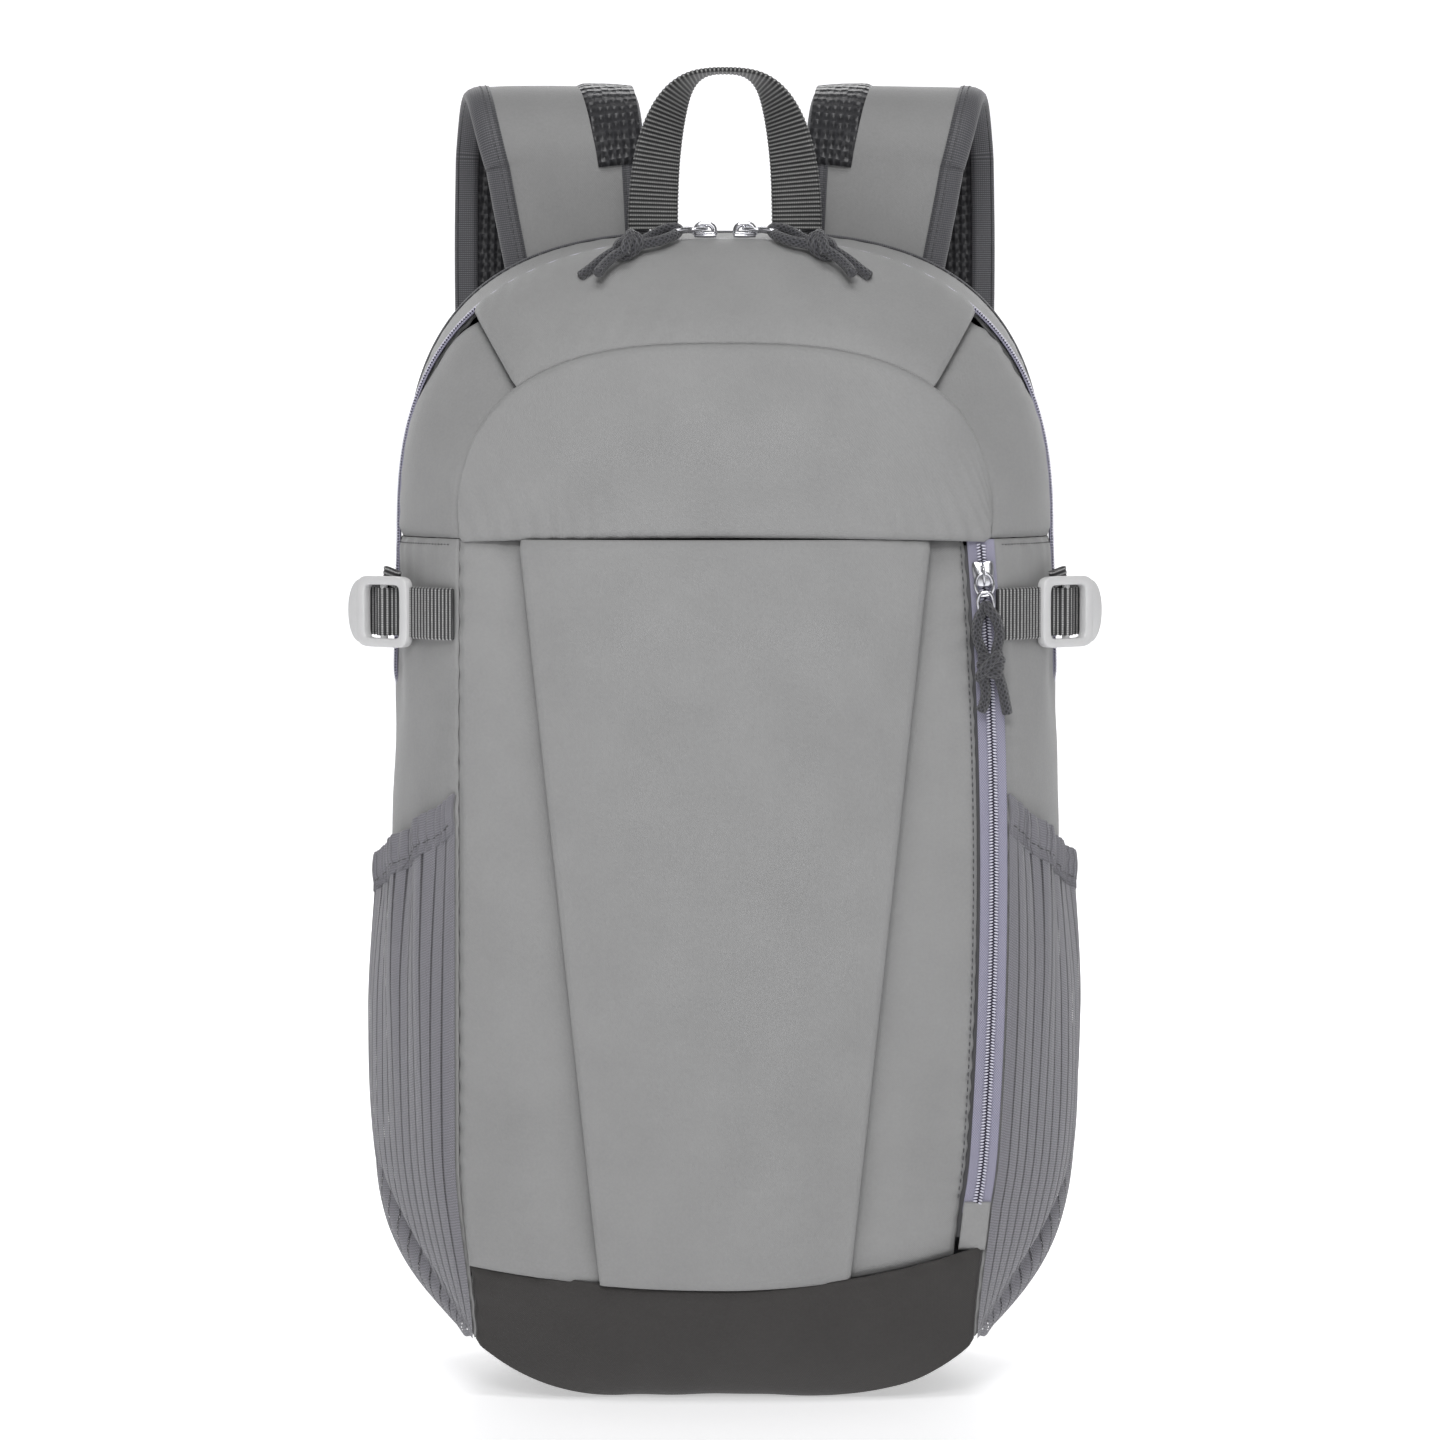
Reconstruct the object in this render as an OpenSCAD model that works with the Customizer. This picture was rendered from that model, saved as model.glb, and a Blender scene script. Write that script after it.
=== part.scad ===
// Daypack: a light hiking rucksack with a zipped front pocket and two mesh bottle pockets.
// Millimetres. +X is the viewer's right, -Y the front, +Z up. The origin is on the ground
// under the middle of the body. Every sewn panel is a thin closed shell, so the bag is hollow.

/* [Body] */
// Height of the body above the ground
body_h = 463; // [380:1:560]
// Width of the body at the yoke seam
body_w = 264; // [220:1:320]
// Greatest width of the body, low down
low_w = 272; // [230:1:330]
// Height below which the sides turn in under the body
low_z = 120; // [80:1:150]
// Distance of the back face behind the origin
back_y = 70; // [50:1:100]
// Thickness of the padded back panel
back_t = 8; // [4:0.5:12]
// Thickness of the sewn fabric panels
wall = 2; // [1.2:0.1:3]
// Clearance between two panels that meet at a seam
seam_gap = 0.3; // [0.2:0.1:0.6]

/* [Front] */
// Width between the two front seams
front_w = 212; // [170:1:216]
// Height of the seam between the yoke and the front pocket
yoke_z = 340; // [290:1:370]
// Height of the top of the domed front seam
dome_top = 417; // [390:1:440]
// Distance of the front seam in front of the origin, at the yoke
front_y = 45; // [30:1:60]
// How much further forward the front seam stands at the boot
front_lean = 12; // [4:1:20]
// How far the loaded front pocket swells in front of its seams
front_bulge = 25; // [14:1:30]
// Width of the raised pleat panel at the yoke
pleat_top_w = 162; // [130:1:166]
// Width of the raised pleat panel at the boot
pleat_low_w = 98; // [70:1:120]
// How far the pleat panel stands in front of the cloth beside it
pleat_rise = 1.6; // [0.8:0.1:3]
// Height of the dark boot in the middle of the front
boot_h = 47; // [35:1:56]
// How much higher the boot reaches at the front seams
boot_rise = 14; // [4:1:20]

/* [Zips] */
// Distance of the main zip in front of the back seam's rim
main_zip_back = 59; // [45:1:75]
// Height of the main zip below the top of the body
main_zip_drop = 5.4; // [3:0.1:9]
// Height at which the main zip ends on each side
main_zip_end = 275; // [240:1:320]
// Width of the zip tape that shows
tape_w = 10; // [8:0.5:14]
// Width of the zip coil
coil_w = 4; // [3:0.1:5]
// Height of the zip coil above its tape
coil_t = 1.2; // [0.8:0.1:1.6]
// Width of the pocket zip between its two panels
lane_w = 11; // [9:0.5:14]
// How far the pocket zip bows out between its ends
lane_bow = 5.5; // [1:0.5:8]
// Height of the lower end of the pocket zip
lane_low = 76; // [68:1:110]
// Distance of each main slider from the middle
slider_x = 8; // [7.5:0.5:14]
// Height of the pocket slider's middle
slider_z = 326; // [290:1:328]
// Length of a wire pull link
link_len = 14; // [10:0.5:18]
// Diameter of the puller cord
puller_d = 4.5; // [3:0.1:5]

/* [Mesh pockets] */
// Height of the pocket's top edge at the front seam
pocket_front_z = 234; // [190:1:250]
// Height of the pocket's top edge at the back seam
pocket_back_z = 200; // [160:1:220]
// Width of the gathered hem
hem_w = 12; // [8:0.5:16]
// How far the mesh stands off the side panel
mesh_gap = 7.5; // [6:0.5:14]
// Thickness of the mesh
mesh_t = 1.2; // [0.8:0.1:2]

/* [Webbing] */
// Width of the webbing
web_w = 20; // [15:1:25]
// Thickness of the webbing
web_t = 1.6; // [1:0.1:2.4]
// Height of the middle of the compression straps
compression_z = 310; // [285:1:320]
// Distance between the middles of the two handle legs
handle_span = 59; // [50:1:66]
// Height of the handle above the body
handle_rise = 66; // [45:1:80]

/* [Shoulder straps] */
// Widest width of a shoulder strap's pad
strap_w = 68; // [55:1:74]
// Thickness of a shoulder strap's pad
strap_t = 7; // [5:0.5:10]
// Thickness of the fabric cover on the pad
cover_t = 1.2; // [0.8:0.1:2]
// Width of the binding along the pad's edges
binding_w = 1.8; // [1:0.1:3]
// Height of the strap's arch above the body
strap_rise = 61; // [45:1:72]
// Radius of the arch at the middle of the strap
strap_r = 25; // [22:1:34]
// Height of the pad's lower end
strap_end_z = 132; // [110:1:200]
// Clearance between pieces that move on each other
run_gap = 0.5; // [0.4:0.05:0.8]

/* [Hidden] */

CLOTH = "#989898";
CLOTH_SIDE = "#848484";
DARK = "#3c3b3a";
MESH = "#7b7b80";
WEB = "#5c5c60";
TAPE = "#9694a6";
METAL = "#c8c8cc";
PLASTIC = "#d2d2d2";
COIL = "#57555f";
CORD = "#3a3a3e";
BOARD = "#303030";
LINING = "#6a6a6a";
MESH_BACK = "#262628";
HANDLE = "#2a2a2c";

rim_y = back_y - back_t;
zip_y = rim_y - main_zip_back;
dome_shape = 2.75;     // how square the front seam's dome is
zip_shape = 2.6;       // the same for the zip line
back_shape = 2.95;     // the same for the back seam
low_shape = 3;         // the same for the lower corners
boot_turn_z = 60;      // below this the front turns in towards the ground
boot_tuck = 9;
sole = 1.2;            // the crowned underside is flattened by this much
web_lift = 0.6;        // a tape or webbing lies this far off the panel below it

// ---- general shapes ----------------------------------------------------------------------

function lerp(a, b, t) = a + (b - a) * t;
function clamp(x, low, high) = max(low, min(high, x));
function unit(v) = v / norm(v);
function steps(a, b, n) = [for (i = [0:n]) lerp(a, b, i / n)];
// Height of a superellipse of unit size at the distance t from its middle.
function dome(t, shape) = pow(max(0, 1 - pow(min(1, abs(t)), shape)), 1 / shape);
function signed_pow(x, e) = sign(x) * pow(abs(x), e);

function flipped(faces) = [for (f = faces) [f[2], f[1], f[0]]];
function six_volumes(p, faces) =
    let (parts = [for (f = faces) p[f[0]] * cross(p[f[1]], p[f[2]])])
    parts * [for (v = parts) 1];

// A closed solid through a row of rings. Each ring runs along its outer points and back along
// its inner ones, so the two end caps are strips of quads.
module loft(rings) {
    count = len(rings[0]);
    last = (len(rings) - 1) * count;
    points = [for (r = rings) each r];
    sides = [
        for (i = [0:len(rings) - 2]) for (k = [0:count - 1])
            let (a = i * count + k, b = i * count + (k + 1) % count)
            each [[a, b, b + count], [a, b + count, a + count]]
    ];
    caps = [
        for (a = [0:count / 2 - 2])
            let (b = a + 1, c = count - 2 - a, d = count - 1 - a)
            each [[b, a, d], [b, d, c],
                  [a + last, b + last, c + last], [a + last, c + last, d + last]]
    ];
    faces = concat(sides, caps);
    polyhedron(points, six_volumes(points, faces) > 0 ? flipped(faces) : faces);
}

function loop(outer, inner) = concat(outer, [for (j = [len(inner) - 1:-1:0]) inner[j]]);

// The skin is thickened towards a box inside the bag, and laid-on pieces stand off it outwards.
function core(p) = [clamp(p[0], -50, 50), clamp(p[1], -10, 30), clamp(p[2], 70, 380)];
function sunk(p, depth) = p + unit(core(p) - p) * depth;

// A panel of the given wall, whose grid of points is its outer face.
module panel(grid, thickness = wall) {
    loft([for (row = grid) loop(row, [for (p = row) sunk(p, thickness)])]);
}

// A band along a path: across is the direction of its width at each point, left and right are
// distances along it, and low and high are distances along the outward normal.
function band_ring(path, across, i, left, right, low, high) =
    let (last = len(path) - 1,
         run = unit(path[min(i + 1, last)] - path[max(i - 1, 0)]),
         side = unit(across[i] - run * (across[i] * run)),
         out = cross(side, run))
    [path[i] + side * right[i] + out * high, path[i] + side * left[i] + out * high,
     path[i] + side * left[i] + out * low, path[i] + side * right[i] + out * low];

module band(path, across, left, right, low, high) {
    loft([for (i = [0:len(path) - 1]) band_ring(path, across, i, left, right, low, high)]);
}

module webbing(path, across, width = web_w, thickness = web_t) {
    half = [for (p = path) width / 2];
    band(path, [for (p = path) across], -half, half, -thickness / 2, thickness / 2);
}

// ---- the bag's outline -------------------------------------------------------------------

function half_w(z) =
    z >= yoke_z ? body_w / 2
    : z > low_z ? lerp(body_w / 2, low_w / 2, sin(90 * (yoke_z - z) / (yoke_z - low_z)))
    : low_w / 2 * dome((low_z - z) / low_z, low_shape);
function bottom_z(x) = low_z * (1 - dome(x / (low_w / 2), low_shape));
edge_z = bottom_z(front_w / 2);
function base_z(x) = max(0, bottom_z(x) - sole) * edge_z / (edge_z - sole);

function arch(half, rise, shape, a) =
    [half * signed_pow(cos(a), 2 / shape), yoke_z + rise * pow(sin(a), 2 / shape)];
function on_arch(y, p) = [p[0], y, p[1]];
function front_seam(a) =
    on_arch(-front_y, arch(front_w / 2, dome_top - yoke_z, dome_shape, a));
function zip_seam(a) =
    on_arch(zip_y, arch(body_w / 2 - 1, body_h - main_zip_drop - yoke_z, zip_shape, a));
function back_seam(a) =
    on_arch(rim_y, arch(body_w / 2, body_h - yoke_z, back_shape, a));

// Over the arch the skin runs from the front seam up to the zip, then level to the back seam.
function over(a, v) =
    let (c = front_seam(a), b = zip_seam(a), f = sin(90 * v))
    [lerp(c[0], b[0], f), lerp(c[1], b[1], v), lerp(c[2], b[2], f)];
function gusset(a, v) = lerp(zip_seam(a), back_seam(a), v);

function seam_y(z) =
    z > yoke_z ? -front_y
    : z > boot_turn_z ? -front_y - front_lean * (yoke_z - z) / (yoke_z - boot_turn_z)
    : -front_y - front_lean + boot_tuck * pow((boot_turn_z - z) / boot_turn_z, 2);

// The pocket zip runs on an arc in the leaning plane of the front seams.
lane_half = (yoke_z - lane_low) / 2;
lane_mid = (yoke_z + lane_low) / 2;
lane_r = (lane_half * lane_half + lane_bow * lane_bow) / (2 * lane_bow);
function lane_edge(z) =
    front_w / 2 + max(0, sqrt(max(0, lane_r * lane_r - pow(z - lane_mid, 2))) - lane_r + lane_bow);
function lane_point(z, inset) = [lane_edge(z) - inset, seam_y(z), z];
lane_tilt = atan(front_lean / (yoke_z - boot_turn_z));

// A point of the side skin: front is the front seam's distance from the middle.
function side(z, v, front) =
    let (y = lerp(seam_y(z), rim_y, v),
         w = half_w(z),
         b = lerp(front, w, 25 / 26),
         reach = clamp((y - seam_y(z)) / (zip_y - seam_y(z)), 0, 1),
         back = clamp((y - zip_y) / (rim_y - zip_y), 0, 1))
    [y < zip_y ? lerp(front, b, sin(90 * reach)) : lerp(b, w, back), y, z];

// How far the front stands before its seams, at full swell and across its width.
function swell(z) =
    z > 100 ? lerp(front_bulge, 0.68 * front_bulge, clamp((z - 100) / (yoke_z - 100), 0, 1))
    : front_bulge * sqrt(max(0, 1 - pow((100 - z) / 100, 3)));
function swell_across(x, low, high) =
    let (t = (x - (low + high) / 2) / ((high - low) / 2)) max(0, 1 - pow(abs(t), 2.2));
function boot_top(x) = boot_h + boot_rise * pow(x / (front_w / 2), 2);
function fold_x(z) = lerp(pleat_low_w, pleat_top_w, (z - boot_h) / (yoke_z - boot_h)) / 2;

// A point of the front pocket, t of the way from the boot to the yoke.
function pocket(x, t) =
    let (z = lerp(boot_top(x) + seam_gap, yoke_z - seam_gap, t), right = lane_edge(z) - lane_w)
    [x, seam_y(z) - swell(z) * swell_across(x, -front_w / 2, right), z];

// ---- panels ------------------------------------------------------------------------------

corner_gap = 6;            // the outline's straight runs stop this far before its corners
module back_outline(inset) {
    low = edge_z + inset;
    high = yoke_z - 2 * corner_gap;
    reach = front_w / 2 - inset - corner_gap;
    half = body_w / 2 - inset;
    arc = [for (a = steps(0, 180, 48)) arch(half, body_h - yoke_z - inset, back_shape, a)];
    left = [for (z = steps(high, low, 22)) [-half_w(z) + inset, z]];
    right = [for (z = steps(low, high, 22)) [half_w(z) - inset, z]];
    under = [for (x = steps(-reach, reach, 16)) [x, base_z(x) + inset]];
    polygon(concat(arc, left, under, right));
}

module slab(y, thickness, inset) {
    translate([0, y + thickness, 0])
        rotate([90, 0, 0])
            linear_extrude(thickness)
                back_outline(inset);
}

module back_panel() { color(DARK) slab(rim_y + seam_gap, back_t - seam_gap, 0); }

board_t = 2.5;
board_gap = 1;
board_inset = 14;
module back_stiffener() { color(BOARD) slab(rim_y - board_gap - board_t, board_t, board_inset); }

sleeve_w = 208;
sleeve_h = 275;
sleeve_low = 32;
sleeve_y = rim_y - 4;      // back of the sleeve, just in front of the stiffener
sleeve_depth = 14;
module laptop_sleeve() {
    front = sleeve_y - sleeve_depth;
    color(LINING) difference() {
        translate([-sleeve_w / 2, front, sleeve_low])
            cube([sleeve_w, sleeve_depth, sleeve_h]);
        translate([-sleeve_w / 2 + wall, front + wall, sleeve_low + wall])
            cube([sleeve_w - 2 * wall, sleeve_depth, sleeve_h]);
    }
}

module rear_gusset() {
    color(CLOTH) panel([
        for (a = steps(0.4, 179.6, 44)) [for (v = steps(0.005, 0.995, 4)) gusset(a, v)]
    ]);
}

pleat_a = 45.5;            // where the crown's pleats fold, measured round the arch
module crown_panel() {
    color(CLOTH) panel([
        for (a = steps(pleat_a, 180 - pleat_a, 24)) [for (v = steps(0.006, 0.994, 8)) over(a, v)]
    ]);
}

module upper_side() {
    color(CLOTH_SIDE) panel([
        for (a = steps(0.4, pleat_a - 0.2, 14)) [for (v = steps(0.006, 0.994, 8)) over(a, v)]
    ]);
}

module side_panel(has_zip) {
    low = edge_z + seam_gap;
    high = yoke_z - seam_gap;
    color(CLOTH_SIDE) panel([
        for (t = steps(0, 1, 22))
            let (z = lerp(low, high, t * t * (1.6 - 0.6 * t)),
                 front = (has_zip ? lane_edge(z) : front_w / 2) + seam_gap / 2)
            [for (v = steps(0.004, 0.998, 12)) side(z, v, front)]
    ]);
}

module front_yoke() {
    full = front_w / 2;
    color(CLOTH) panel([
        for (u = steps(-1, 1, 28))
            let (x = (full - seam_gap) * sin(90 * u),
                 top = yoke_z + (dome_top - yoke_z) * dome(x / full, dome_shape) - 2 * seam_gap,
                 bulge = swell(yoke_z) * swell_across(x, -full, full))
            [for (t = steps(0, 1, 8))
                [x, -front_y - bulge * (1 - pow(t, 1.8)),
                 lerp(yoke_z + seam_gap, max(yoke_z + 1, top), t)]]
    ]);
}

module pocket_side(left) {
    half_gap = seam_gap / 2;
    color(CLOTH) panel([
        for (t = steps(0, 1, 16))
            let (z = lerp(boot_h + boot_rise, yoke_z, t),
                 fold = fold_x(z) + half_gap,
                 seam = (left ? front_w / 2 : lane_edge(z) - lane_w) - half_gap)
            [for (u = steps(0, 1, 8)) pocket((left ? -1 : 1) * lerp(fold, seam, u), t)]
    ]);
}

module pocket_pleat_panel() {
    color(CLOTH) panel([
        for (t = steps(0, 1, 18))
            let (half = fold_x(lerp(boot_h, yoke_z, t)) - seam_gap / 2)
            [for (u = steps(-1, 1, 16)) pocket(u * half, t) - [0, pleat_rise, 0]]
    ], wall + pleat_rise);
}

// A thin wall behind the front pocket, inside the front seams.
divider_y = 3;
divider_t = 1;
divider_inset = 5;
module pocket_divider() {
    color(LINING) loft([
        for (z = steps(boot_turn_z + 4, yoke_z - 3, 8))
            let (near = seam_y(z) + divider_y,
                 far = near + divider_t,
                 left = -front_w / 2 + divider_inset,
                 right = lane_edge(z) - divider_inset)
            [[left, near, z], [right, near, z], [right, far, z], [left, far, z]]
    ]);
}

module base_boot() {
    full = front_w / 2;
    color(DARK) panel([
        for (u = steps(-1, 1, 28))
            let (x = (full - seam_gap) * u,
                 foot = base_z(x),
                 bulge = swell_across(x, -full, full),
                 front = [for (t = steps(0, 1, 7))
                     let (z = lerp(boot_top(x), foot, sin(90 * t)))
                     [x, seam_y(z) - swell(z) * bulge, z]],
                 start = front[7][1])
            concat(front, [for (v = steps(0.08, 1, 7)) [x, lerp(start, rim_y, v), foot]])
    ]);
}

// ---- zips --------------------------------------------------------------------------------

// The main zip's line: over the arch, and down each side to its end.
function zip_side(z, front) = side(z, (zip_y - seam_y(z)) / (rim_y - seam_y(z)), front);
zip_drops = steps(main_zip_end, yoke_z - 8, 4);
zip_line = concat(
    [for (z = zip_drops) zip_side(z, front_w / 2 + lane_bow / 2)],
    [for (a = steps(0, 180, 56)) zip_seam(a)],
    [for (i = [4:-1:0]) let (p = zip_side(zip_drops[i], front_w / 2)) [-p[0], p[1], p[2]]]
);

// A band on the zip line, reaching that far forward of it and that far back.
module on_zip_line(forward, back, low, high) {
    left = [for (p = zip_line) -forward];
    right = [for (p = zip_line) back];
    band(zip_line, [for (p = zip_line) [0, 1, 0]], left, right, low, high);
}

tape_t = 0.5;
tape_back = 0.36 * tape_w; // the gusset rises behind the zip, so the tape is narrower there
module main_zip_tape() {
    color(TAPE) on_zip_line(tape_w / 2, tape_back, web_lift, web_lift + tape_t);
}

module main_zip_coil() {
    low = web_lift + tape_t;
    color(COIL) on_zip_line(coil_w / 2, coil_w / 2, low, low + coil_t);
}

module lane_band(left, right, low, high, from, to) {
    loft([
        for (z = steps(from, to, 16))
            let (p = lane_point(z, 0), near = p - [0, high, 0], far = p - [0, low, 0])
            [near - [left, 0, 0], near - [right, 0, 0], far - [right, 0, 0], far - [left, 0, 0]]
    ]);
}

lane_lip = 1.1;            // the side panel's thickness stands over the tape's outer edge
module pocket_zip_tape() {
    low = lane_low + seam_gap;
    color(TAPE) lane_band(lane_w - seam_gap / 2, lane_lip, -tape_t, 0, low, yoke_z - seam_gap);
}

module pocket_zip_coil() {
    middle = lane_w / 2;
    half = coil_w / 2;
    color(COIL) lane_band(middle + half, middle - half, 0, coil_t, lane_low + 2, yoke_z - 4);
}

// The cloth tab over the zip's lower end.
end_tab = 6;
module pocket_zip_end() {
    color(CLOTH) lane_band(lane_w - 1, lane_lip, 0.1, 0.9, lane_low - end_tab, lane_low + 1.6);
}

// A slider stands on its coil: local +X is along the coil and +Z away from the bag.
slider_len = 10;
slider_w = 8;
slider_base = coil_t + run_gap;
plate_t = 1.1;             // also the width of the rails under it
tunnel = 2.6;              // clear height under the slider's bridge
bridge_len = 6.8;
bridge_w = 2;
bridge_t = 0.9;
post = 1.2;
bar_r = 0.85;              // wire of the pull link
bar_h = slider_base + plate_t + tunnel / 2;
module slider() {
    post_z = slider_base + plate_t / 2;
    color(METAL) union() {
        translate([-slider_len / 2, -slider_w / 2, slider_base])
            cube([slider_len, slider_w, plate_t]);
        for (s = [-1, 1]) {
            translate([-slider_len / 2, s * (slider_w - plate_t) / 2 - plate_t / 2, run_gap])
                cube([slider_len, plate_t, post_z - run_gap]);
            translate([s * (bridge_len - post) / 2 - post / 2, -bridge_w / 2, post_z])
                cube([post, bridge_w, tunnel + plate_t]);
        }
        translate([-bridge_len / 2, -bridge_w / 2, slider_base + plate_t + tunnel])
            cube([bridge_len, bridge_w, bridge_t]);
    }
}

// The pull link turns on its cross bar at the local origin and lies along +X.
link_w = 7;
module wire(from, to, r = bar_r) {
    way = to - from;
    translate(from)
        rotate([0, acos(way[2] / norm(way)), atan2(way[1], way[0])])
            cylinder(h = norm(way), r = r, $fn = 24);
}
module pull_link() {
    half = link_w / 2;
    color(METAL) union() {
        wire([0, -half, 0], [0, half, 0]);
        wire([link_len, -half, 0], [link_len, half, 0]);
        for (s = [-1, 1]) {
            wire([0, s * half, 0], [link_len, s * half, 0]);
            for (x = [0, link_len]) translate([x, s * half, 0]) sphere(r = bar_r, $fn = 24);
        }
    }
}

// The puller: a cord looped round the link's far bar and knotted, with two free tails.
cord_r = puller_d / 2;
knot_x = link_len + 22;
knot_r = 5.6;
knot_lift = 3.2;           // the knot is fatter than the cord, so its middle lies higher
tail_len = 19;
loop_half = 4.4;           // half the widest distance between the loop's two strands
// How far a cord that lies over the crown has dropped at the distance x from its link's bar.
function droop(x) = 9 * pow(max(0, x - 8) / 28, 1.3);
module strand(path, hangs) {
    low = [for (p = path) p - [0, 0, hangs ? droop(p[0]) : 0]];
    for (i = [0:len(path) - 2])
        hull()
            for (p = [low[i], low[i + 1]])
                translate(p) sphere(r = cord_r, $fn = 12);
}
module pull_cord(hangs) {
    loop_x = link_len + bar_r + cord_r + 0.3;
    wide_x = link_len + 9;
    beside = 2;
    third = knot_r / 3;
    color(CORD) union() {
        strand([
            [knot_x, -beside, knot_lift / 2], [wide_x, -loop_half, 0.3], [loop_x, -beside, 0],
            [loop_x, beside, 0], [wide_x, loop_half, 0.3], [knot_x, beside, knot_lift / 2]
        ], hangs);
        hull()
            for (x = [-third, third], y = [-third, third])
                translate([knot_x + x, y, knot_lift - (hangs ? droop(knot_x) : 0)])
                    sphere(r = 2 * third, $fn = 16);
        for (s = [-1, 1])
            strand([
                [knot_x, s * beside, knot_lift],
                [knot_x + tail_len / 2, s * 1.5 * beside, knot_lift / 2],
                [knot_x + tail_len, s * 2.5 * beside, 0]
            ], hangs);
    }
}

// The main sliders stand on top of the arch, one each side of the middle.
zip_rise = body_h - main_zip_drop - yoke_z;
main_z = yoke_z + zip_rise * dome(slider_x / (body_w / 2 - 1), zip_shape) + web_lift + tape_t;
pull_tilt = 2;             // the pull lies on the crown, which falls away outwards
pull_yaw = 32;             // and swings forward from the zip by this angle
module at_main_slider() {
    translate([slider_x, zip_y, main_z]) children();
}
module at_main_pull() {
    at_main_slider() translate([0, 0, bar_h]) rotate([0, pull_tilt, -pull_yaw]) children();
}

pocket_home = lane_point(slider_z, lane_w / 2);
lane_turn = asin((slider_z - lane_mid) / lane_r);
module at_pocket_slider() {
    translate(pocket_home)
        rotate([-lane_tilt, 0, 0])
            rotate([0, -lane_turn, 0])
                rotate([90, 90, 0])
                    children();
}
module at_pocket_pull() {
    at_pocket_slider() translate([0, 0, bar_h]) children();
}

// ---- mesh pockets ------------------------------------------------------------------------

function hem_top(v) = lerp(pocket_front_z, pocket_back_z, v);
function stand_off(v, t) = mesh_gap * pow(max(0, sin(180 * v)), 0.6) * sin(90 * min(1, 3 * t));
// Height of the mesh s of the way up: 0 is its foot, 1 the bottom of the hem and 2 its top.
function mesh_z(v, s) =
    let (under_hem = hem_top(v) - hem_w)
    s <= 1 ? lerp(edge_z + 3, under_hem, s) : under_hem + (s - 1) * hem_w;
function mesh_row(s, has_zip, extra) =
    let (front = has_zip ? lane_edge(mesh_z(0, s)) : front_w / 2)
    [for (v = steps(0.02, 0.98, 12))
        sunk(side(mesh_z(v, s), v, front), -stand_off(v, s) - web_lift - extra)];

module mesh_shell(from, to, thickness, has_zip) {
    loft([
        for (s = steps(from, to, 14))
            loop(mesh_row(s, has_zip, thickness), mesh_row(s, has_zip, 0))
    ]);
}

module mesh_pocket(has_zip) { color(MESH) mesh_shell(0, 0.995, mesh_t, has_zip); }
module pocket_hem(has_zip) { color(MESH) mesh_shell(1, 2, mesh_t + 0.6, has_zip); }

// ---- compression straps ------------------------------------------------------------------

// Each side buckle stands off the corner of the bag, turned half way round to the side.
buckle_turn = 45;
buckle_len = 25;
buckle_from = [front_w / 2 + 20.5, seam_y(compression_z) + 19];
buckle_way = [sin(buckle_turn), cos(buckle_turn)];
function on_level(p) = [p[0], p[1], compression_z];
lock_bar_r = 1.7;
lock_rail = 3;
lock_play = 1;             // the lock's opening is this much wider than the webbing

// A ladder lock: local +X is along the strap, +Y its width and +Z outwards.
module ladder_lock(length) {
    inside = web_w + lock_play;
    into = lock_rail / 2;
    color(PLASTIC) union() {
        for (s = [-1, 1])
            translate([-lock_bar_r, s * (inside + lock_rail) / 2 - lock_rail / 2, -lock_bar_r])
                cube([length + 2 * lock_bar_r, lock_rail, 2.4 * lock_bar_r]);
        for (x = [0, length * 0.55, length])
            wire([x, -inside / 2 - into, 0], [x, inside / 2 + into, 0], lock_bar_r);
    }
}

module compression_strap(has_zip) {
    front = has_zip ? lane_edge(compression_z) : front_w / 2;
    end = buckle_from - buckle_way * (lock_bar_r + run_gap);
    start = [front + 1.5, seam_y(compression_z) - 1.5];
    color(WEB) webbing([for (t = steps(0, 1, 4)) on_level(lerp(start, end, t))], [0, 0, 1]);
}

module side_buckle() {
    translate(on_level(buckle_from))
        rotate([0, 0, 90 - buckle_turn])
            rotate([90, 0, 0])
                ladder_lock(buckle_len);
}

tail_lift = 1.65;          // the tail's sewn end clears the side panel by this much
module compression_tail() {
    start = buckle_from + buckle_way * (buckle_len + lock_bar_r + web_t);
    end = [half_w(compression_z) + tail_lift, rim_y - 2];
    color(WEB) webbing([
        for (t = steps(0, 1, 6))
            on_level([lerp(start[0], end[0], pow(t, 0.6)), lerp(start[1], end[1], t)])
    ], [0, 0, 1]);
}

// ---- the back and the shoulder straps ----------------------------------------------------

strap_back = back_y + strap_t / 2 + cover_t + run_gap;   // path of the strap behind the back panel
root_z = body_h - 35;
arch_z = body_h + strap_rise - strap_r - strap_t / 2 - cover_t;
end_y = strap_back + 32;
pad_x = [58, 80];          // middle of the pad at its root and at its lower end
rise_steps = 5;
arch_steps = 12;
fall_steps = 12;
fall_top = strap_back + 2 * strap_r;
function fall_y(t) = lerp(fall_top, end_y, t * t * (3 - 2 * t));
strap_yz = concat(
    [for (t = steps(0, 1, rise_steps)) [strap_back, lerp(root_z, arch_z, t)]],
    [for (a = steps(15, 165, arch_steps - 2))
        [strap_back + strap_r * (1 - cos(a)), arch_z + strap_r * sin(a)]],
    [for (t = steps(0, 1, fall_steps)) [fall_y(t), lerp(arch_z, strap_end_z, t)]]
);
strap_points = len(strap_yz) - 1;
strap_path = [
    for (i = [0:strap_points])
        let (t = i / strap_points)
        [lerp(pad_x[0], pad_x[1], sin(90 * min(1, t * 1.35))), strap_yz[i][0], strap_yz[i][1]]
];
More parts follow.
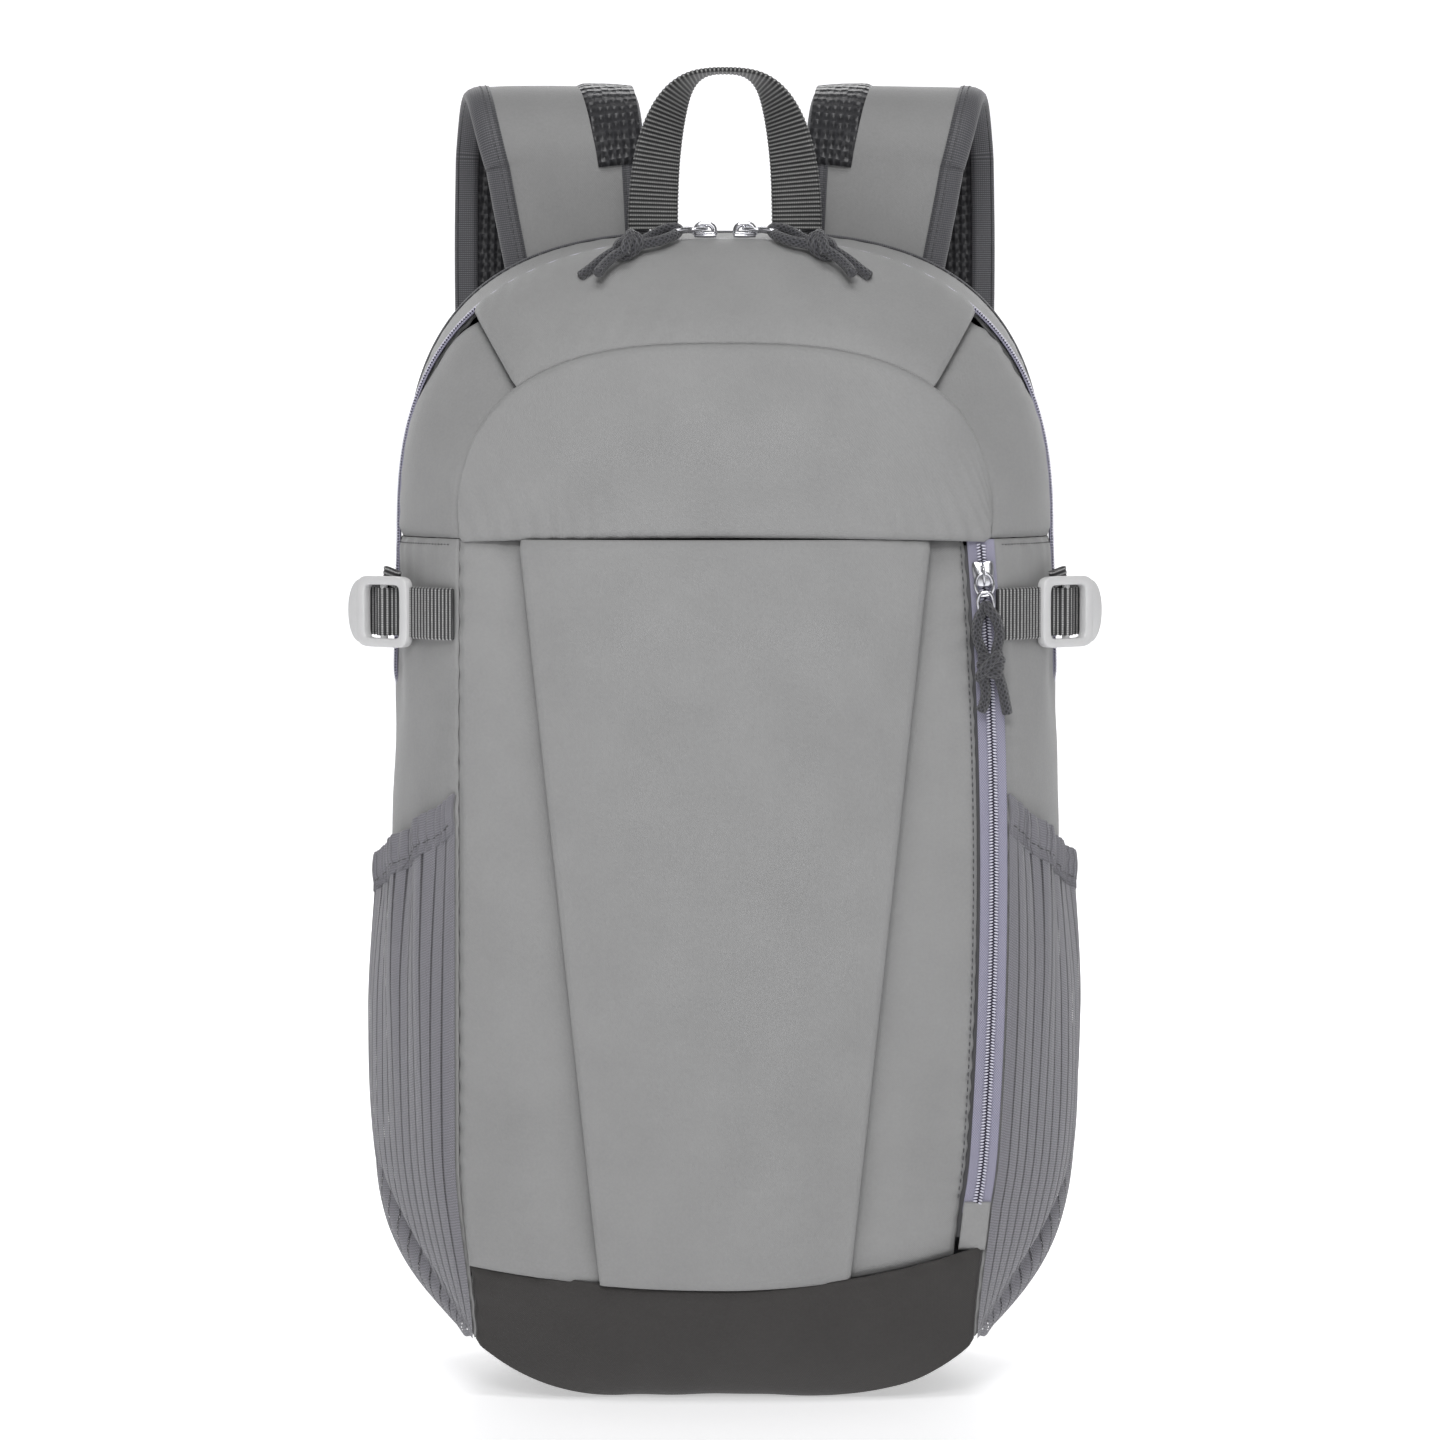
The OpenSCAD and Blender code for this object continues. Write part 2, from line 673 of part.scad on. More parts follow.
// Half the pad's width: narrow at the root, widest over the shoulder, tapered to the adjuster.
wide_from = 0.35;
wide_to = 0.6;
function pad_share(t) =
    t < wide_from ? lerp(0.8, 1, sin(90 * t / wide_from))
    : t < wide_to ? 1
    : 1 - 0.56 * pow((t - wide_to) / (1 - wide_to), 1.6);
pad_halves = [for (i = [0:strap_points]) strap_w / 2 * pad_share(i / strap_points)];
pad_across = [for (p = strap_path) [1, 0, 0]];

module strap_pad() {
    color(MESH_BACK) band(strap_path, pad_across, -pad_halves, pad_halves, -strap_t / 2, strap_t / 2);
}

layer_gap = 0.05;
cover_top = strap_t / 2 + cover_t;
module strap_cover() {
    color(CLOTH_SIDE)
        band(strap_path, pad_across, -pad_halves, pad_halves, strap_t / 2 + layer_gap, cover_top);
}

module strap_binding() {
    low = -strap_t / 2 - seam_gap;
    near = [for (h = pad_halves) h + layer_gap];
    far = [for (h = pad_halves) h + binding_w];
    color(WEB) {
        band(strap_path, pad_across, near, far, low, cover_top);
        band(strap_path, pad_across, -far, -near, low, cover_top);
    }
}

adjuster_len = 22;
adjuster_top = [pad_x[1], end_y, strap_end_z - 2 * lock_bar_r - run_gap];
module adjuster() {
    translate(adjuster_top)
        rotate([0, 0, 90])
            rotate([0, 90, 0])
                ladder_lock(adjuster_len);
}

tab_x = 96;                // middle of the lower strap tab
tab_z = 32;
tab_t = 2.3;
tab_shape = [[-13, -14], [11, -2], [13, 10], [-9, 20]];
module strap_tab() {
    color(DARK)
        translate([tab_x, back_y + seam_gap + tab_t, tab_z])
            rotate([90, 0, 0])
                linear_extrude(tab_t)
                    polygon(tab_shape);
}

// The webbing twists a little as it runs out to the tab, so it ends clear of it.
module lower_webbing() {
    high = adjuster_top - [0, 0, adjuster_len + lock_bar_r + run_gap];
    low = [tab_x, back_y + tab_t + 2.6 * web_t, tab_z];
    color(WEB) webbing([
        for (t = steps(0, 1, 10))
            [lerp(high[0], low[0], t * t), lerp(high[1], low[1], t * t), lerp(high[2], low[2], t)]
    ], [1, 0, 0]);
}

anchor_half = 92;
anchor_h = 24;
anchor_t = 1.4;
module strap_anchor() {
    color(DARK)
        translate([-anchor_half, back_y + seam_gap, root_z - anchor_h - 6])
            cube([2 * anchor_half, anchor_t, anchor_h]);
}

// ---- the grab handle ---------------------------------------------------------------------

// Each leg stands flat to the front and turns edge-on at the top of the loop.
handle_y = rim_y - 4;
handle_z = body_h + 1;
handle_steps = 24;
function handle_path(a) = [
    handle_span / 2 * signed_pow(cos(a), 0.72),
    handle_y,
    handle_z + (handle_rise - web_t / 2) * pow(sin(a), 0.86)
];
module grab_handle() {
    turns = steps(0, 180, handle_steps);
    half = [for (a = turns) web_w / 2];
    color(HANDLE)
        band([for (a = turns) handle_path(a)], [for (a = turns) [cos(a), -sin(a), 0]],
             -half, half, -web_t / 2, web_t / 2);
}

// ---- nodes -------------------------------------------------------------------------------

module left() { mirror([1, 0, 0]) children(); }

back_panel();
back_stiffener();
laptop_sleeve();
rear_gusset();
crown_panel();
left() upper_side();  // upper_side_left
upper_side();  // upper_side_right
left() side_panel(false);  // side_panel_left
side_panel(true);  // side_panel_right
front_yoke();
pocket_side(true);  // pocket_side_left
pocket_side(false);  // pocket_side_right
pocket_pleat_panel();
pocket_divider();
base_boot();
main_zip_tape();
main_zip_coil();
pocket_zip_tape();
pocket_zip_coil();
pocket_zip_end();
left() mesh_pocket(false);  // mesh_pocket_left
mesh_pocket(true);  // mesh_pocket_right
left() pocket_hem(false);  // pocket_hem_left
pocket_hem(true);  // pocket_hem_right
left() compression_strap(false);  // compression_strap_left
compression_strap(true);  // compression_strap_right
left() compression_tail();  // compression_tail_left
compression_tail();  // compression_tail_right
strap_anchor();
left() strap_tab();  // strap_tab_left
strap_tab();  // strap_tab_right
left() lower_webbing();  // lower_webbing_left
lower_webbing();  // lower_webbing_right
grab_handle();
left() at_main_slider() slider();  // main_slider_left
at_main_slider() slider();  // main_slider_right
left() at_main_pull() pull_link();  // main_link_left
at_main_pull() pull_link();  // main_link_right
left() at_main_pull() pull_cord(true);  // main_cord_left
at_main_pull() pull_cord(true);  // main_cord_right
at_pocket_slider() slider();  // pocket_slider
at_pocket_pull() pull_link();  // pocket_link
at_pocket_pull() pull_cord(false);  // pocket_cord
left() side_buckle();  // side_buckle_left
side_buckle();  // side_buckle_right
left() strap_pad();  // strap_pad_left
strap_pad();  // strap_pad_right
left() strap_cover();  // strap_cover_left
strap_cover();  // strap_cover_right
left() strap_binding();  // strap_binding_left
strap_binding();  // strap_binding_right
left() adjuster();  // adjuster_left
adjuster();  // adjuster_right
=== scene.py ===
import math

import bmesh
import bpy
import numpy as np
from mathutils import Matrix, Vector


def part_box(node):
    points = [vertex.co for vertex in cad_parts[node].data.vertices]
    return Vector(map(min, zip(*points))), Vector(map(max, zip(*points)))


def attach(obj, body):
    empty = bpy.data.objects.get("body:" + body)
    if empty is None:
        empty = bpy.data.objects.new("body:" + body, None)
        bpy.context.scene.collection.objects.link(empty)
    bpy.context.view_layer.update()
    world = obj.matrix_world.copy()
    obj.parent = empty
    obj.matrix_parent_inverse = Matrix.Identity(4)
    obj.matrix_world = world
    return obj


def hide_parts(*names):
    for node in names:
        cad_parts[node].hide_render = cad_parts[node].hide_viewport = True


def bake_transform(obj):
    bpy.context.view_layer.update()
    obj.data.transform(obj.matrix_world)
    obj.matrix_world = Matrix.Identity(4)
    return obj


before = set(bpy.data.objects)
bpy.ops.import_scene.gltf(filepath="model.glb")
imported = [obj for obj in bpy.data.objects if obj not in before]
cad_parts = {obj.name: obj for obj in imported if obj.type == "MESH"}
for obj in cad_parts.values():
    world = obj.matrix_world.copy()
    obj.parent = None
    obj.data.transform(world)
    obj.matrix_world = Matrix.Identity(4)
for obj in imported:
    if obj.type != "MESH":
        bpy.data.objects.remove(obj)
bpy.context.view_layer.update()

# ---- Camera, floor and light ---------------------------------------------------------------
# The pack stands on a pale studio floor under large soft lights, seen nearly level from
# the front. Lengths are metres here; the pieces below are drawn in millimetres.

aim = Vector((-0.002, 0.0, 0.2655))
distance = 2.2
elevation = math.radians(3.5)
camera = bpy.data.objects.new("camera", bpy.data.cameras.new("camera"))
bpy.context.collection.objects.link(camera)
camera.data.lens = 136.5
camera.location = aim + distance * Vector((0, -math.cos(elevation), math.sin(elevation)))
camera.rotation_euler = (math.pi / 2 - elevation, 0, 0)
bpy.context.scene.camera = camera
bpy.context.scene.view_settings.view_transform = "Standard"


def soft_light(name, place, target, size, power):
    light = bpy.data.lights.new(name, "AREA")
    light.shape = "RECTANGLE"
    light.size, light.size_y = size
    light.energy = power
    lamp = bpy.data.objects.new(name, light)
    bpy.context.collection.objects.link(lamp)
    lamp.location = place
    lamp.rotation_euler = (Vector(target) - Vector(place)).to_track_quat("-Z", "Y").to_euler()


soft_light("key", (-0.15, -2.6, 1.85), (0, 0, 0.26), (0.9, 0.8), 31)
soft_light("top", (0.0, -1.0, 2.1), (0, 0.05, 0.42), (1.2, 0.7), 15)
soft_light("fill", (0.5, -2.6, 1.0), (0, 0, 0.25), (0.9, 0.9), 5)
soft_light("rim_left", (-1.9, 0.5, 0.9), (0, 0, 0.25), (0.6, 1.4), 0.5)
soft_light("rim_right", (1.9, 0.5, 0.9), (0, 0, 0.25), (0.6, 1.4), 0.5)
soft_light("back", (0.0, 2.2, 1.9), (0, 0, 0.3), (1.8, 1.0), 16)

world = bpy.data.worlds.new("studio")
bpy.context.scene.world = world
world.use_nodes = True
world.node_tree.nodes["Background"].inputs["Color"].default_value = (1, 1, 1, 1)
world.node_tree.nodes["Background"].inputs["Strength"].default_value = 0.16


def srgb(red, green, blue):
    """A colour of 0 to 255 as a picture shows it, in the linear values that shaders take."""
    parts = [c / 255 for c in (red, green, blue)]
    return tuple(c / 12.92 if c < 0.04045 else ((c + 0.055) / 1.055) ** 2.4 for c in parts) + (1.0,)


def blank_material(name, colour, rough, specular=0.5):
    made = bpy.data.materials.new(name)
    made.use_nodes = True
    shader = made.node_tree.nodes["Principled BSDF"]
    shader.inputs["Base Color"].default_value = colour
    shader.inputs["Roughness"].default_value = rough
    shader.inputs["Specular IOR Level"].default_value = specular
    return made, made.node_tree, shader


# A sweep of white paper: level under the pack, curving up far behind it. A little glow of its
# own keeps it as even and bright as lit paper.
paper, _, paper_shader = blank_material("paper_sweep", srgb(246, 246, 248), 0.3)
paper_shader.inputs["Emission Color"].default_value = (1, 1, 1, 1)
paper_shader.inputs["Emission Strength"].default_value = 0.45
bend = np.radians(np.linspace(-90, 0, 24))
profile = [(-6.0, 0.0), (1.6, 0.0)] + [(1.6 + 1.2 * math.cos(g),
                                        1.2 + 1.2 * math.sin(g)) for g in bend] + [(2.8, 6.0)]
mesh = bpy.data.meshes.new("floor")
mesh.from_pydata([(x, y, z - 0.0004) for y, z in profile for x in (-7, 7)], [],
                 [(2 * k, 2 * k + 1, 2 * k + 3, 2 * k + 2) for k in range(len(profile) - 1)])
mesh.polygons.foreach_set("use_smooth", [True] * len(mesh.polygons))
mesh.materials.append(paper)
floor = bpy.data.objects.new("floor", mesh)
bpy.context.collection.objects.link(floor)

# ---- Shell panels --------------------------------------------------------------------------
# The bag's outer skin: plain-woven nylon panels, cut to shape and sewn edge to edge. Every
# panel is a sheet over the bag's outline, rolled under along its seams, with a cloth's
# thickness turned inwards.


def corners(node):
    """A CAD node's lowest and highest corner, in millimetres."""
    return [np.array(c) * 1000 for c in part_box(node)]


seam_gap = 0.3
arch_half = corners("rear_gusset")[1][0]
body_top = corners("back_panel")[1][2]
rim_y = corners("back_panel")[0][1] - seam_gap
back_y = corners("back_panel")[1][1]
yoke_z = corners("front_yoke")[0][2] - seam_gap
front_half = corners("front_yoke")[1][0] + seam_gap
dome_top = corners("front_yoke")[1][2] + 0.6
low_half = corners("back_panel")[1][0]
front_y = 45.0
front_lean = 12.0
zip_y = rim_y - 59.0
zip_drop = 5.4
low_z, low_shape = 120.0, 3.0
dome_shape, zip_shape, back_shape = 2.75, 2.6, 2.95
boot_turn, boot_tuck = 60.0, 9.0
front_bulge = 25.0
lane_w, lane_bow, lane_low = 11.0, 5.5, 76.0


def lerp(a, b, t):
    return a + (b - a) * t


def dome(t, shape):
    return np.maximum(0, 1 - np.minimum(1, np.abs(t)) ** shape) ** (1 / shape)


def arch(half, rise, shape, a):
    """Across and up, a point of a squarish arch over the yoke seam; a is its angle from the right."""
    across = half * np.sign(np.cos(a)) * np.abs(np.cos(a)) ** (2 / shape)
    return across, yoke_z + rise * np.maximum(0, np.sin(a)) ** (2 / shape)


def half_width(z):
    middle = lerp(arch_half, low_half,
                  np.sin(np.pi / 2 * np.clip((yoke_z - z) / (yoke_z - low_z), 0, 1)))
    return np.where(z > low_z, middle, low_half * dome((low_z - z) / low_z, low_shape))


def bottom_z(x):
    return low_z * (1 - dome(x / low_half, low_shape))


edge_z = float(bottom_z(front_half))


def seam_y(z):
    lean = -front_y - front_lean * np.clip((yoke_z - z) / (yoke_z - boot_turn), 0, 1)
    return lean + boot_tuck * np.clip((boot_turn - z) / boot_turn, 0, 1) ** 2


lane_mid = (yoke_z + lane_low) / 2
lane_half = (yoke_z - lane_low) / 2
lane_r = (lane_half**2 + lane_bow**2) / (2 * lane_bow)


def front_edge(z):
    """The front seam's distance from the middle, drawn in towards the foot."""
    low = np.clip((98 - z) / 78, 0, 1)
    return front_half - 6.5 * low * low * (3 - 2 * low)


def lane_edge(z):
    """The right front seam's distance from the middle: it bows out with the pocket zip."""
    return front_edge(z) + np.maximum(0, np.sqrt(np.maximum(0, lane_r**2 - (z - lane_mid) ** 2))
                                      - lane_r + lane_bow)


def over(a, v):
    """The skin from the front seam's arch (v 0) up to the zip (v 1)."""
    cx, cz = arch(front_half, dome_top - yoke_z, dome_shape, a)
    bx, bz = arch(arch_half - 1, body_top - zip_drop - yoke_z, zip_shape, a)
    f = np.sin(np.pi / 2 * v)
    return np.stack([lerp(cx, bx, f), lerp(-front_y, zip_y, v) + 0 * a, lerp(cz, bz, f)], -1)


def gusset(a, v):
    bx, bz = arch(arch_half - 1, body_top - zip_drop - yoke_z, zip_shape, a)
    ax, az = arch(arch_half, body_top - yoke_z, back_shape, a)
    return np.stack([lerp(bx, ax, v), lerp(zip_y, rim_y, v) + 0 * a, lerp(bz, az, v)], -1)


def side_skin(z, v, front):
    """The right side's skin from the front seam (v 0) to the back seam (v 1)."""
    y = lerp(seam_y(z), rim_y, v)
    w = half_width(z)
    b = lerp(front, w, 25 / 26)
    reach = np.clip((y - seam_y(z)) / (zip_y - seam_y(z)), 0, 1)
    back = np.clip((y - zip_y) / (rim_y - zip_y), 0, 1)
    return np.stack([np.where(y < zip_y, lerp(front, b, np.sin(np.pi / 2 * reach)),
                              lerp(b, w, back)), y, z + 0 * v], -1)


def swell(z):
    high = lerp(front_bulge, 0.68 * front_bulge, np.clip((z - 100) / (yoke_z - 100), 0, 1))
    low = front_bulge * np.sqrt(np.maximum(0, 1 - (np.clip(100 - z, 0, 100) / 100) ** 3))
    return np.where(z > 100, high, low)


def swell_across(x, low, high):
    t = (x - (low + high) / 2) / ((high - low) / 2)
    return np.maximum(0, 1 - np.abs(t) ** 2.2)


def towards_core(p):
    """Unit vectors from points of the skin towards the inside of the bag."""
    core = np.stack([np.clip(p[..., 0], -50, 50), np.clip(p[..., 1], -10, 30),
                     np.clip(p[..., 2], 70, 380)], -1)
    way = core - p
    return way / np.linalg.norm(way, axis=-1, keepdims=True)


def sway(p, length, seed, count=7):
    """A smooth random field from -1 to 1 over points, with waves of about that length."""
    rng = np.random.default_rng(seed)
    total = 0
    for _ in range(count):
        way = rng.normal(size=3)
        way *= 2 * np.pi / (length * rng.uniform(0.7, 1.5) * np.linalg.norm(way))
        total = total + np.sin(p @ way + rng.uniform(0, 2 * np.pi))
    return total / count**0.5 / 1.6


def run_lengths(grid):
    """Distances along a grid's rows and columns, and each point's distance from the four edges."""
    down = np.linalg.norm(np.diff(grid, axis=0), axis=-1)
    along = np.linalg.norm(np.diff(grid, axis=1), axis=-1)
    i = np.concatenate([np.zeros((1, grid.shape[1])), np.cumsum(down, 0)])
    j = np.concatenate([np.zeros((grid.shape[0], 1)), np.cumsum(along, 1)], 1)
    return i, j, i[-1:] - i, j[:, -1:] - j


def seam_roll(grid, deep=1.3, reach=2.4, edges="abcd"):
    """Turns a panel's sewn edges inwards: a and c are its first and last row, b and d its columns."""
    i, j, i_back, j_back = run_lengths(grid)
    near = np.full(grid.shape[:2], 1e9)
    for name, distance_to in zip("abcd", (i, j, i_back, j_back)):
        if name in edges:
            near = np.minimum(near, distance_to)
    depth = deep * np.exp(-((near / reach) ** 2))
    return grid + towards_core(grid) * depth[..., None]


def pucker(grid, seed, edges="abcd", deep=0.35, reach=14, pitch=9):
    """Small gathers that a seam draws into the cloth beside it, and the slack of a filled bag."""
    i, j, i_back, j_back = run_lengths(grid)
    rng = np.random.default_rng(seed)
    depth = 0
    for name, distance_to, along in zip("abcd", (i, j, i_back, j_back), (j, i, j, i)):
        if name in edges:
            wave = np.sin(along * 2 * np.pi / pitch + 2.5 * np.sin(along / 23 + rng.uniform(0, 6)))
            patch = 0.5 + 0.5 * np.sin(along / 31 + rng.uniform(0, 6))
            depth = depth + deep * wave * patch * np.exp(-distance_to / reach)
    inner = np.minimum(np.minimum(i, i_back), np.minimum(j, j_back))
    calm = 1 - np.exp(-((inner / 18) ** 2))
    slack = 0.9 * sway(grid, 95, seed) + 0.35 * sway(grid, 34, seed + 1)
    return grid + towards_core(grid) * (depth + slack * calm)[..., None]


def put(name, points, faces, material, uv=None, smooth=True):
    """A mesh object from millimetre points. uv gives each point its place on the cloth, in metres."""
    mesh = bpy.data.meshes.new(name)
    mesh.from_pydata((np.asarray(points, float) / 1000).tolist(),
                     [], [tuple(map(int, f)) for f in faces])
    if uv is not None:
        layer = mesh.uv_layers.new(name="cloth")
        index = np.empty(len(mesh.loops), dtype=np.int32)
        mesh.loops.foreach_get("vertex_index", index)
        layer.data.foreach_set("uv", np.asarray(uv, float)[index].ravel())
    mesh.polygons.foreach_set("use_smooth", [smooth] * len(mesh.polygons))
    mesh.materials.append(material)
    mesh.update()
    thing = bpy.data.objects.new(name, mesh)
    bpy.context.collection.objects.link(thing)
    return thing


def grid_faces(rows, columns, round_columns=False):
    i, j = np.meshgrid(np.arange(rows - 1), np.arange(columns if round_columns else columns - 1),
                       indexing="ij")
    k = (j + 1) % columns
    return np.stack([i * columns + j, i * columns + k, (i + 1) * columns + k,
                     (i + 1) * columns + j], -1).reshape(-1, 4)


def sheet_of(name, grid, material, thick=1.2, outwards=None):
    """A cloth sheet over a grid of points, given its thickness inwards."""
    rows, columns = grid.shape[:2]
    i, j, _, _ = run_lengths(grid)
    faces = grid_faces(rows, columns)
    flat = grid.reshape(-1, 3)
    a, b, c = (flat[faces[:, k]] for k in (0, 1, 2))
    normal = np.cross(b - a, c - a)
    out = -towards_core(a) if outwards is None else np.asarray(outwards)
    if np.sum(normal * out) < 0:
        faces = faces[:, ::-1]
    sheet = put(name, flat, faces, material, np.stack([j, i], -1).reshape(-1, 2) / 1000)
    solid = sheet.modifiers.new("cloth_thickness", "SOLIDIFY")
    solid.thickness = thick / 1000
    solid.offset = -1
    return sheet


def texture_node(tree, kind, **settings):
    node = tree.nodes.new(kind)
    for key, value in settings.items():
        if key in node.inputs:
            node.inputs[key].default_value = value
        else:
            setattr(node, key, value)
    return node


def arithmetic(tree, operation, a, b=None, clamp=False):
    node = tree.nodes.new("ShaderNodeMath")
    node.operation = operation
    node.use_clamp = clamp
    for socket, value in zip(node.inputs, (a, b)):
        if value is None:
            continue
        if isinstance(value, (int, float)):
            socket.default_value = value
        else:
            tree.links.new(value, socket)
    return node.outputs[0]


def cloth_axes(tree):
    """Lengths along the two ways of the cloth, in metres, from the piece's own UV map."""
    split = tree.nodes.new("ShaderNodeSeparateXYZ")
    tree.links.new(tree.nodes.new("ShaderNodeUVMap").outputs[0], split.inputs[0])
    return split.outputs[0], split.outputs[1]


def wave_of(tree, length, pitch, phase=0.0):
    """A wave from -1 to 1 with that pitch in metres."""
    turned = arithmetic(tree, "MULTIPLY_ADD", length, 2 * math.pi / pitch)
    turned.node.inputs[2].default_value = phase
    return arithmetic(tree, "SINE", turned)


def bump_into(tree, shader, height, metres, strength=1.0):
    bump = tree.nodes.new("ShaderNodeBump")
    bump.inputs["Distance"].default_value = metres
    bump.inputs["Strength"].default_value = strength
    tree.links.new(height, bump.inputs["Height"])
    tree.links.new(bump.outputs[0], shader.inputs["Normal"])


def mottled(tree, shader, dark, light, factor):
    ramp = tree.nodes.new("ShaderNodeMix")
    ramp.data_type = "RGBA"
    ramp.inputs["A"].default_value = dark
    ramp.inputs["B"].default_value = light
    tree.links.new(factor, ramp.inputs["Factor"])
    tree.links.new(ramp.outputs["Result"], shader.inputs["Base Color"])


def noise_of(tree, scale, detail=2.0, stretch=(1, 1, 1)):
    """Noise on the piece's Object coordinates, with that many features a metre."""
    place = texture_node(tree, "ShaderNodeMapping")
    place.inputs["Scale"].default_value = stretch
    tree.links.new(tree.nodes.new("ShaderNodeTexCoord").outputs["Object"], place.inputs["Vector"])
    noise = texture_node(tree, "ShaderNodeTexNoise", Scale=scale, Detail=detail)
    tree.links.new(place.outputs[0], noise.inputs["Vector"])
    return noise.outputs["Fac"]


def woven(name, dark, light, rough=0.62, pitch=0.0007, crinkle=0.5, sheen=0.25):
    """Plain-woven nylon: a fine over-and-under weave, a soft crinkle and a slight cloudiness."""
    made, tree, shader = blank_material(name, light, rough, 0.35)
    shader.inputs["Sheen Weight"].default_value = sheen
    shader.inputs["Sheen Roughness"].default_value = 0.4
    along, across = cloth_axes(tree)
    weave = arithmetic(tree, "MULTIPLY", wave_of(tree, along, pitch), wave_of(tree, across, pitch))
    cloud = noise_of(tree, 38, 3)
    grain = noise_of(tree, 900, 2)
    crease = noise_of(tree, 190, 3, (1, 1, 0.35))
    shade = arithmetic(tree, "ADD", arithmetic(tree, "MULTIPLY", cloud, 0.55),
                       arithmetic(tree, "MULTIPLY", grain, 0.45))
    mottled(tree, shader, dark, light, shade)
    height = arithmetic(tree, "ADD", arithmetic(tree, "MULTIPLY", weave, 0.16),
                        arithmetic(tree, "ADD", arithmetic(tree, "MULTIPLY", crease, crinkle),
                                   arithmetic(tree, "MULTIPLY", grain, 0.25)))
    bump_into(tree, shader, height, 0.0004, 0.6)
    return made


shell_cloth = woven("shell_cloth", srgb(132, 132, 132), srgb(154, 154, 154), crinkle=0.8)
pleat_a = math.radians(45.5)


def arch_grid(first, last, rows, columns, rule):
    a, v = np.meshgrid(np.linspace(first, last, rows), np.linspace(0.004, 0.996, columns),
                       indexing="ij")
    return rule(a, v)


# The rear gusset, level from the main zip to the back seam.
gusset_grid = arch_grid(0.0, math.pi, 221, 40, gusset)
rear_gusset = sheet_of("rear_gusset_cloth", seam_roll(pucker(gusset_grid, 3), 1.3, 2.2),
                       shell_cloth)
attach(rear_gusset, "pack")
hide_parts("rear_gusset")

# The crown, between the two pleats that give it its fullness.
crown_grid = arch_grid(pleat_a - 0.012, math.pi - pleat_a + 0.012, 200, 70, over)
crown_grid = pucker(crown_grid, 5, "bd")
rise_i, from_yoke, rise_back, _ = run_lengths(crown_grid)
fold_near = np.minimum(rise_i, rise_back)
crown_grid = crown_grid - towards_core(crown_grid) * (1.5 * (1 - np.exp(-((fold_near / 1.6) ** 2)))
                                                      * (1 - np.exp(-((from_yoke / 7) ** 2))))[
                                                          ..., None]
crown = sheet_of("crown_cloth", seam_roll(crown_grid, 0.9, 2.0, "bd"), shell_cloth)
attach(crown, "pack")
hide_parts("crown_panel")

# The upper sides dive under the crown's pleats, which leaves a shaded hollow beside each fold.
for hand, mirror in (("right", 1), ("left", -1)):
    upper = arch_grid(0.0, pleat_a + 0.05, 91, 70, over)
    _, _, from_fold, _ = run_lengths(upper)
    hollow = 6.5 * np.exp(-((from_fold / 15) ** 1.3)) + 1.6 * np.exp(
        -(((from_fold - 34) / 12) ** 2))
    upper = upper + towards_core(upper) * hollow[..., None]
    upper = seam_roll(pucker(upper, 7 + mirror, "bd"), 1.3, 2.2, "abd") * (mirror, 1, 1)
    upper_side = sheet_of(f"upper_side_{hand}_cloth", upper, shell_cloth)
    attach(upper_side, "pack")
    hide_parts(f"upper_side_{hand}")

# The side panels, from the yoke seam down to where the body turns under.
for hand, mirror in (("right", 1), ("left", -1)):
    t, v = np.meshgrid(np.linspace(0, 1, 200), np.linspace(0.002, 0.999, 80), indexing="ij")
    z = lerp(edge_z + seam_gap, yoke_z - seam_gap, t * (1.25 - 0.25 * t))
    front = (lane_edge(z) if mirror > 0 else front_edge(z)) + 0.15
    side_grid = side_skin(z, v, front)
    drag = 1.6 * np.exp(-(((z - 285) / 16) ** 2)) * np.sin(v
                                                           * 21) * np.exp(
                                                               -(((v - 0.3) / 0.25) ** 2))
    side_grid = side_grid + towards_core(side_grid) * drag[..., None]
    side_grid = seam_roll(pucker(side_grid, 11 + mirror), 1.2, 2.2) * (mirror, 1, 1)
    side_panel = sheet_of(f"side_panel_{hand}_cloth", side_grid, shell_cloth)
    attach(side_panel, "pack")
    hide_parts(f"side_panel_{hand}")

# ---- Front yoke ----------------------------------------------------------------------------
# One domed piece above the front pocket, sewn into the front seam's arch and overlapping
# the pocket's top edge.

u, t = np.meshgrid(np.linspace(-1, 1, 200), np.linspace(0, 1, 60), indexing="ij")
x = (front_half - seam_gap) * np.sin(np.pi / 2 * u)
top = yoke_z + (dome_top - yoke_z) * dome(x / front_half, dome_shape)
z = lerp(yoke_z - 1.5 + 2.0 * (1 - (x / front_half) ** 2), np.maximum(yoke_z + 1, top + 0.5), t)
bulge = 0.68 * front_bulge * swell_across(x, -front_half, front_half) * (1 - t**1.8)
yoke_grid = np.stack([x, -front_y - bulge - 0.9 * (1 - t), z], -1)
yoke_grid = pucker(yoke_grid, 21, "abc")
yoke_grid = seam_roll(seam_roll(yoke_grid, 1.2, 1.8, "acd"), 1.6, 1.3, "b")
yoke = sheet_of("yoke_cloth", yoke_grid, shell_cloth, outwards=(0, -1, 0))
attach(yoke, "pack")
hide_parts("front_yoke")

# ---- Front pocket --------------------------------------------------------------------------
# A loaded pocket whose front has one wide box pleat: the raised middle part stands on two
# folds, and the cloth beside each fold runs in under it.

boot_h, boot_rise = 47.0, 14.0
pleat_top, pleat_low, pleat_rise = 81.0, 49.0, 1.6
hollow_depth, hollow_closes, tuck_depth = 5.6, 30.0, 9.4


def boot_top(x):
    return boot_h + np.where(x > 0, boot_rise, 0.5 * boot_rise) * (x / front_half) ** 2


def fold_x(z):
    return lerp(pleat_low, pleat_top, (z - boot_h) / (yoke_z - boot_h))


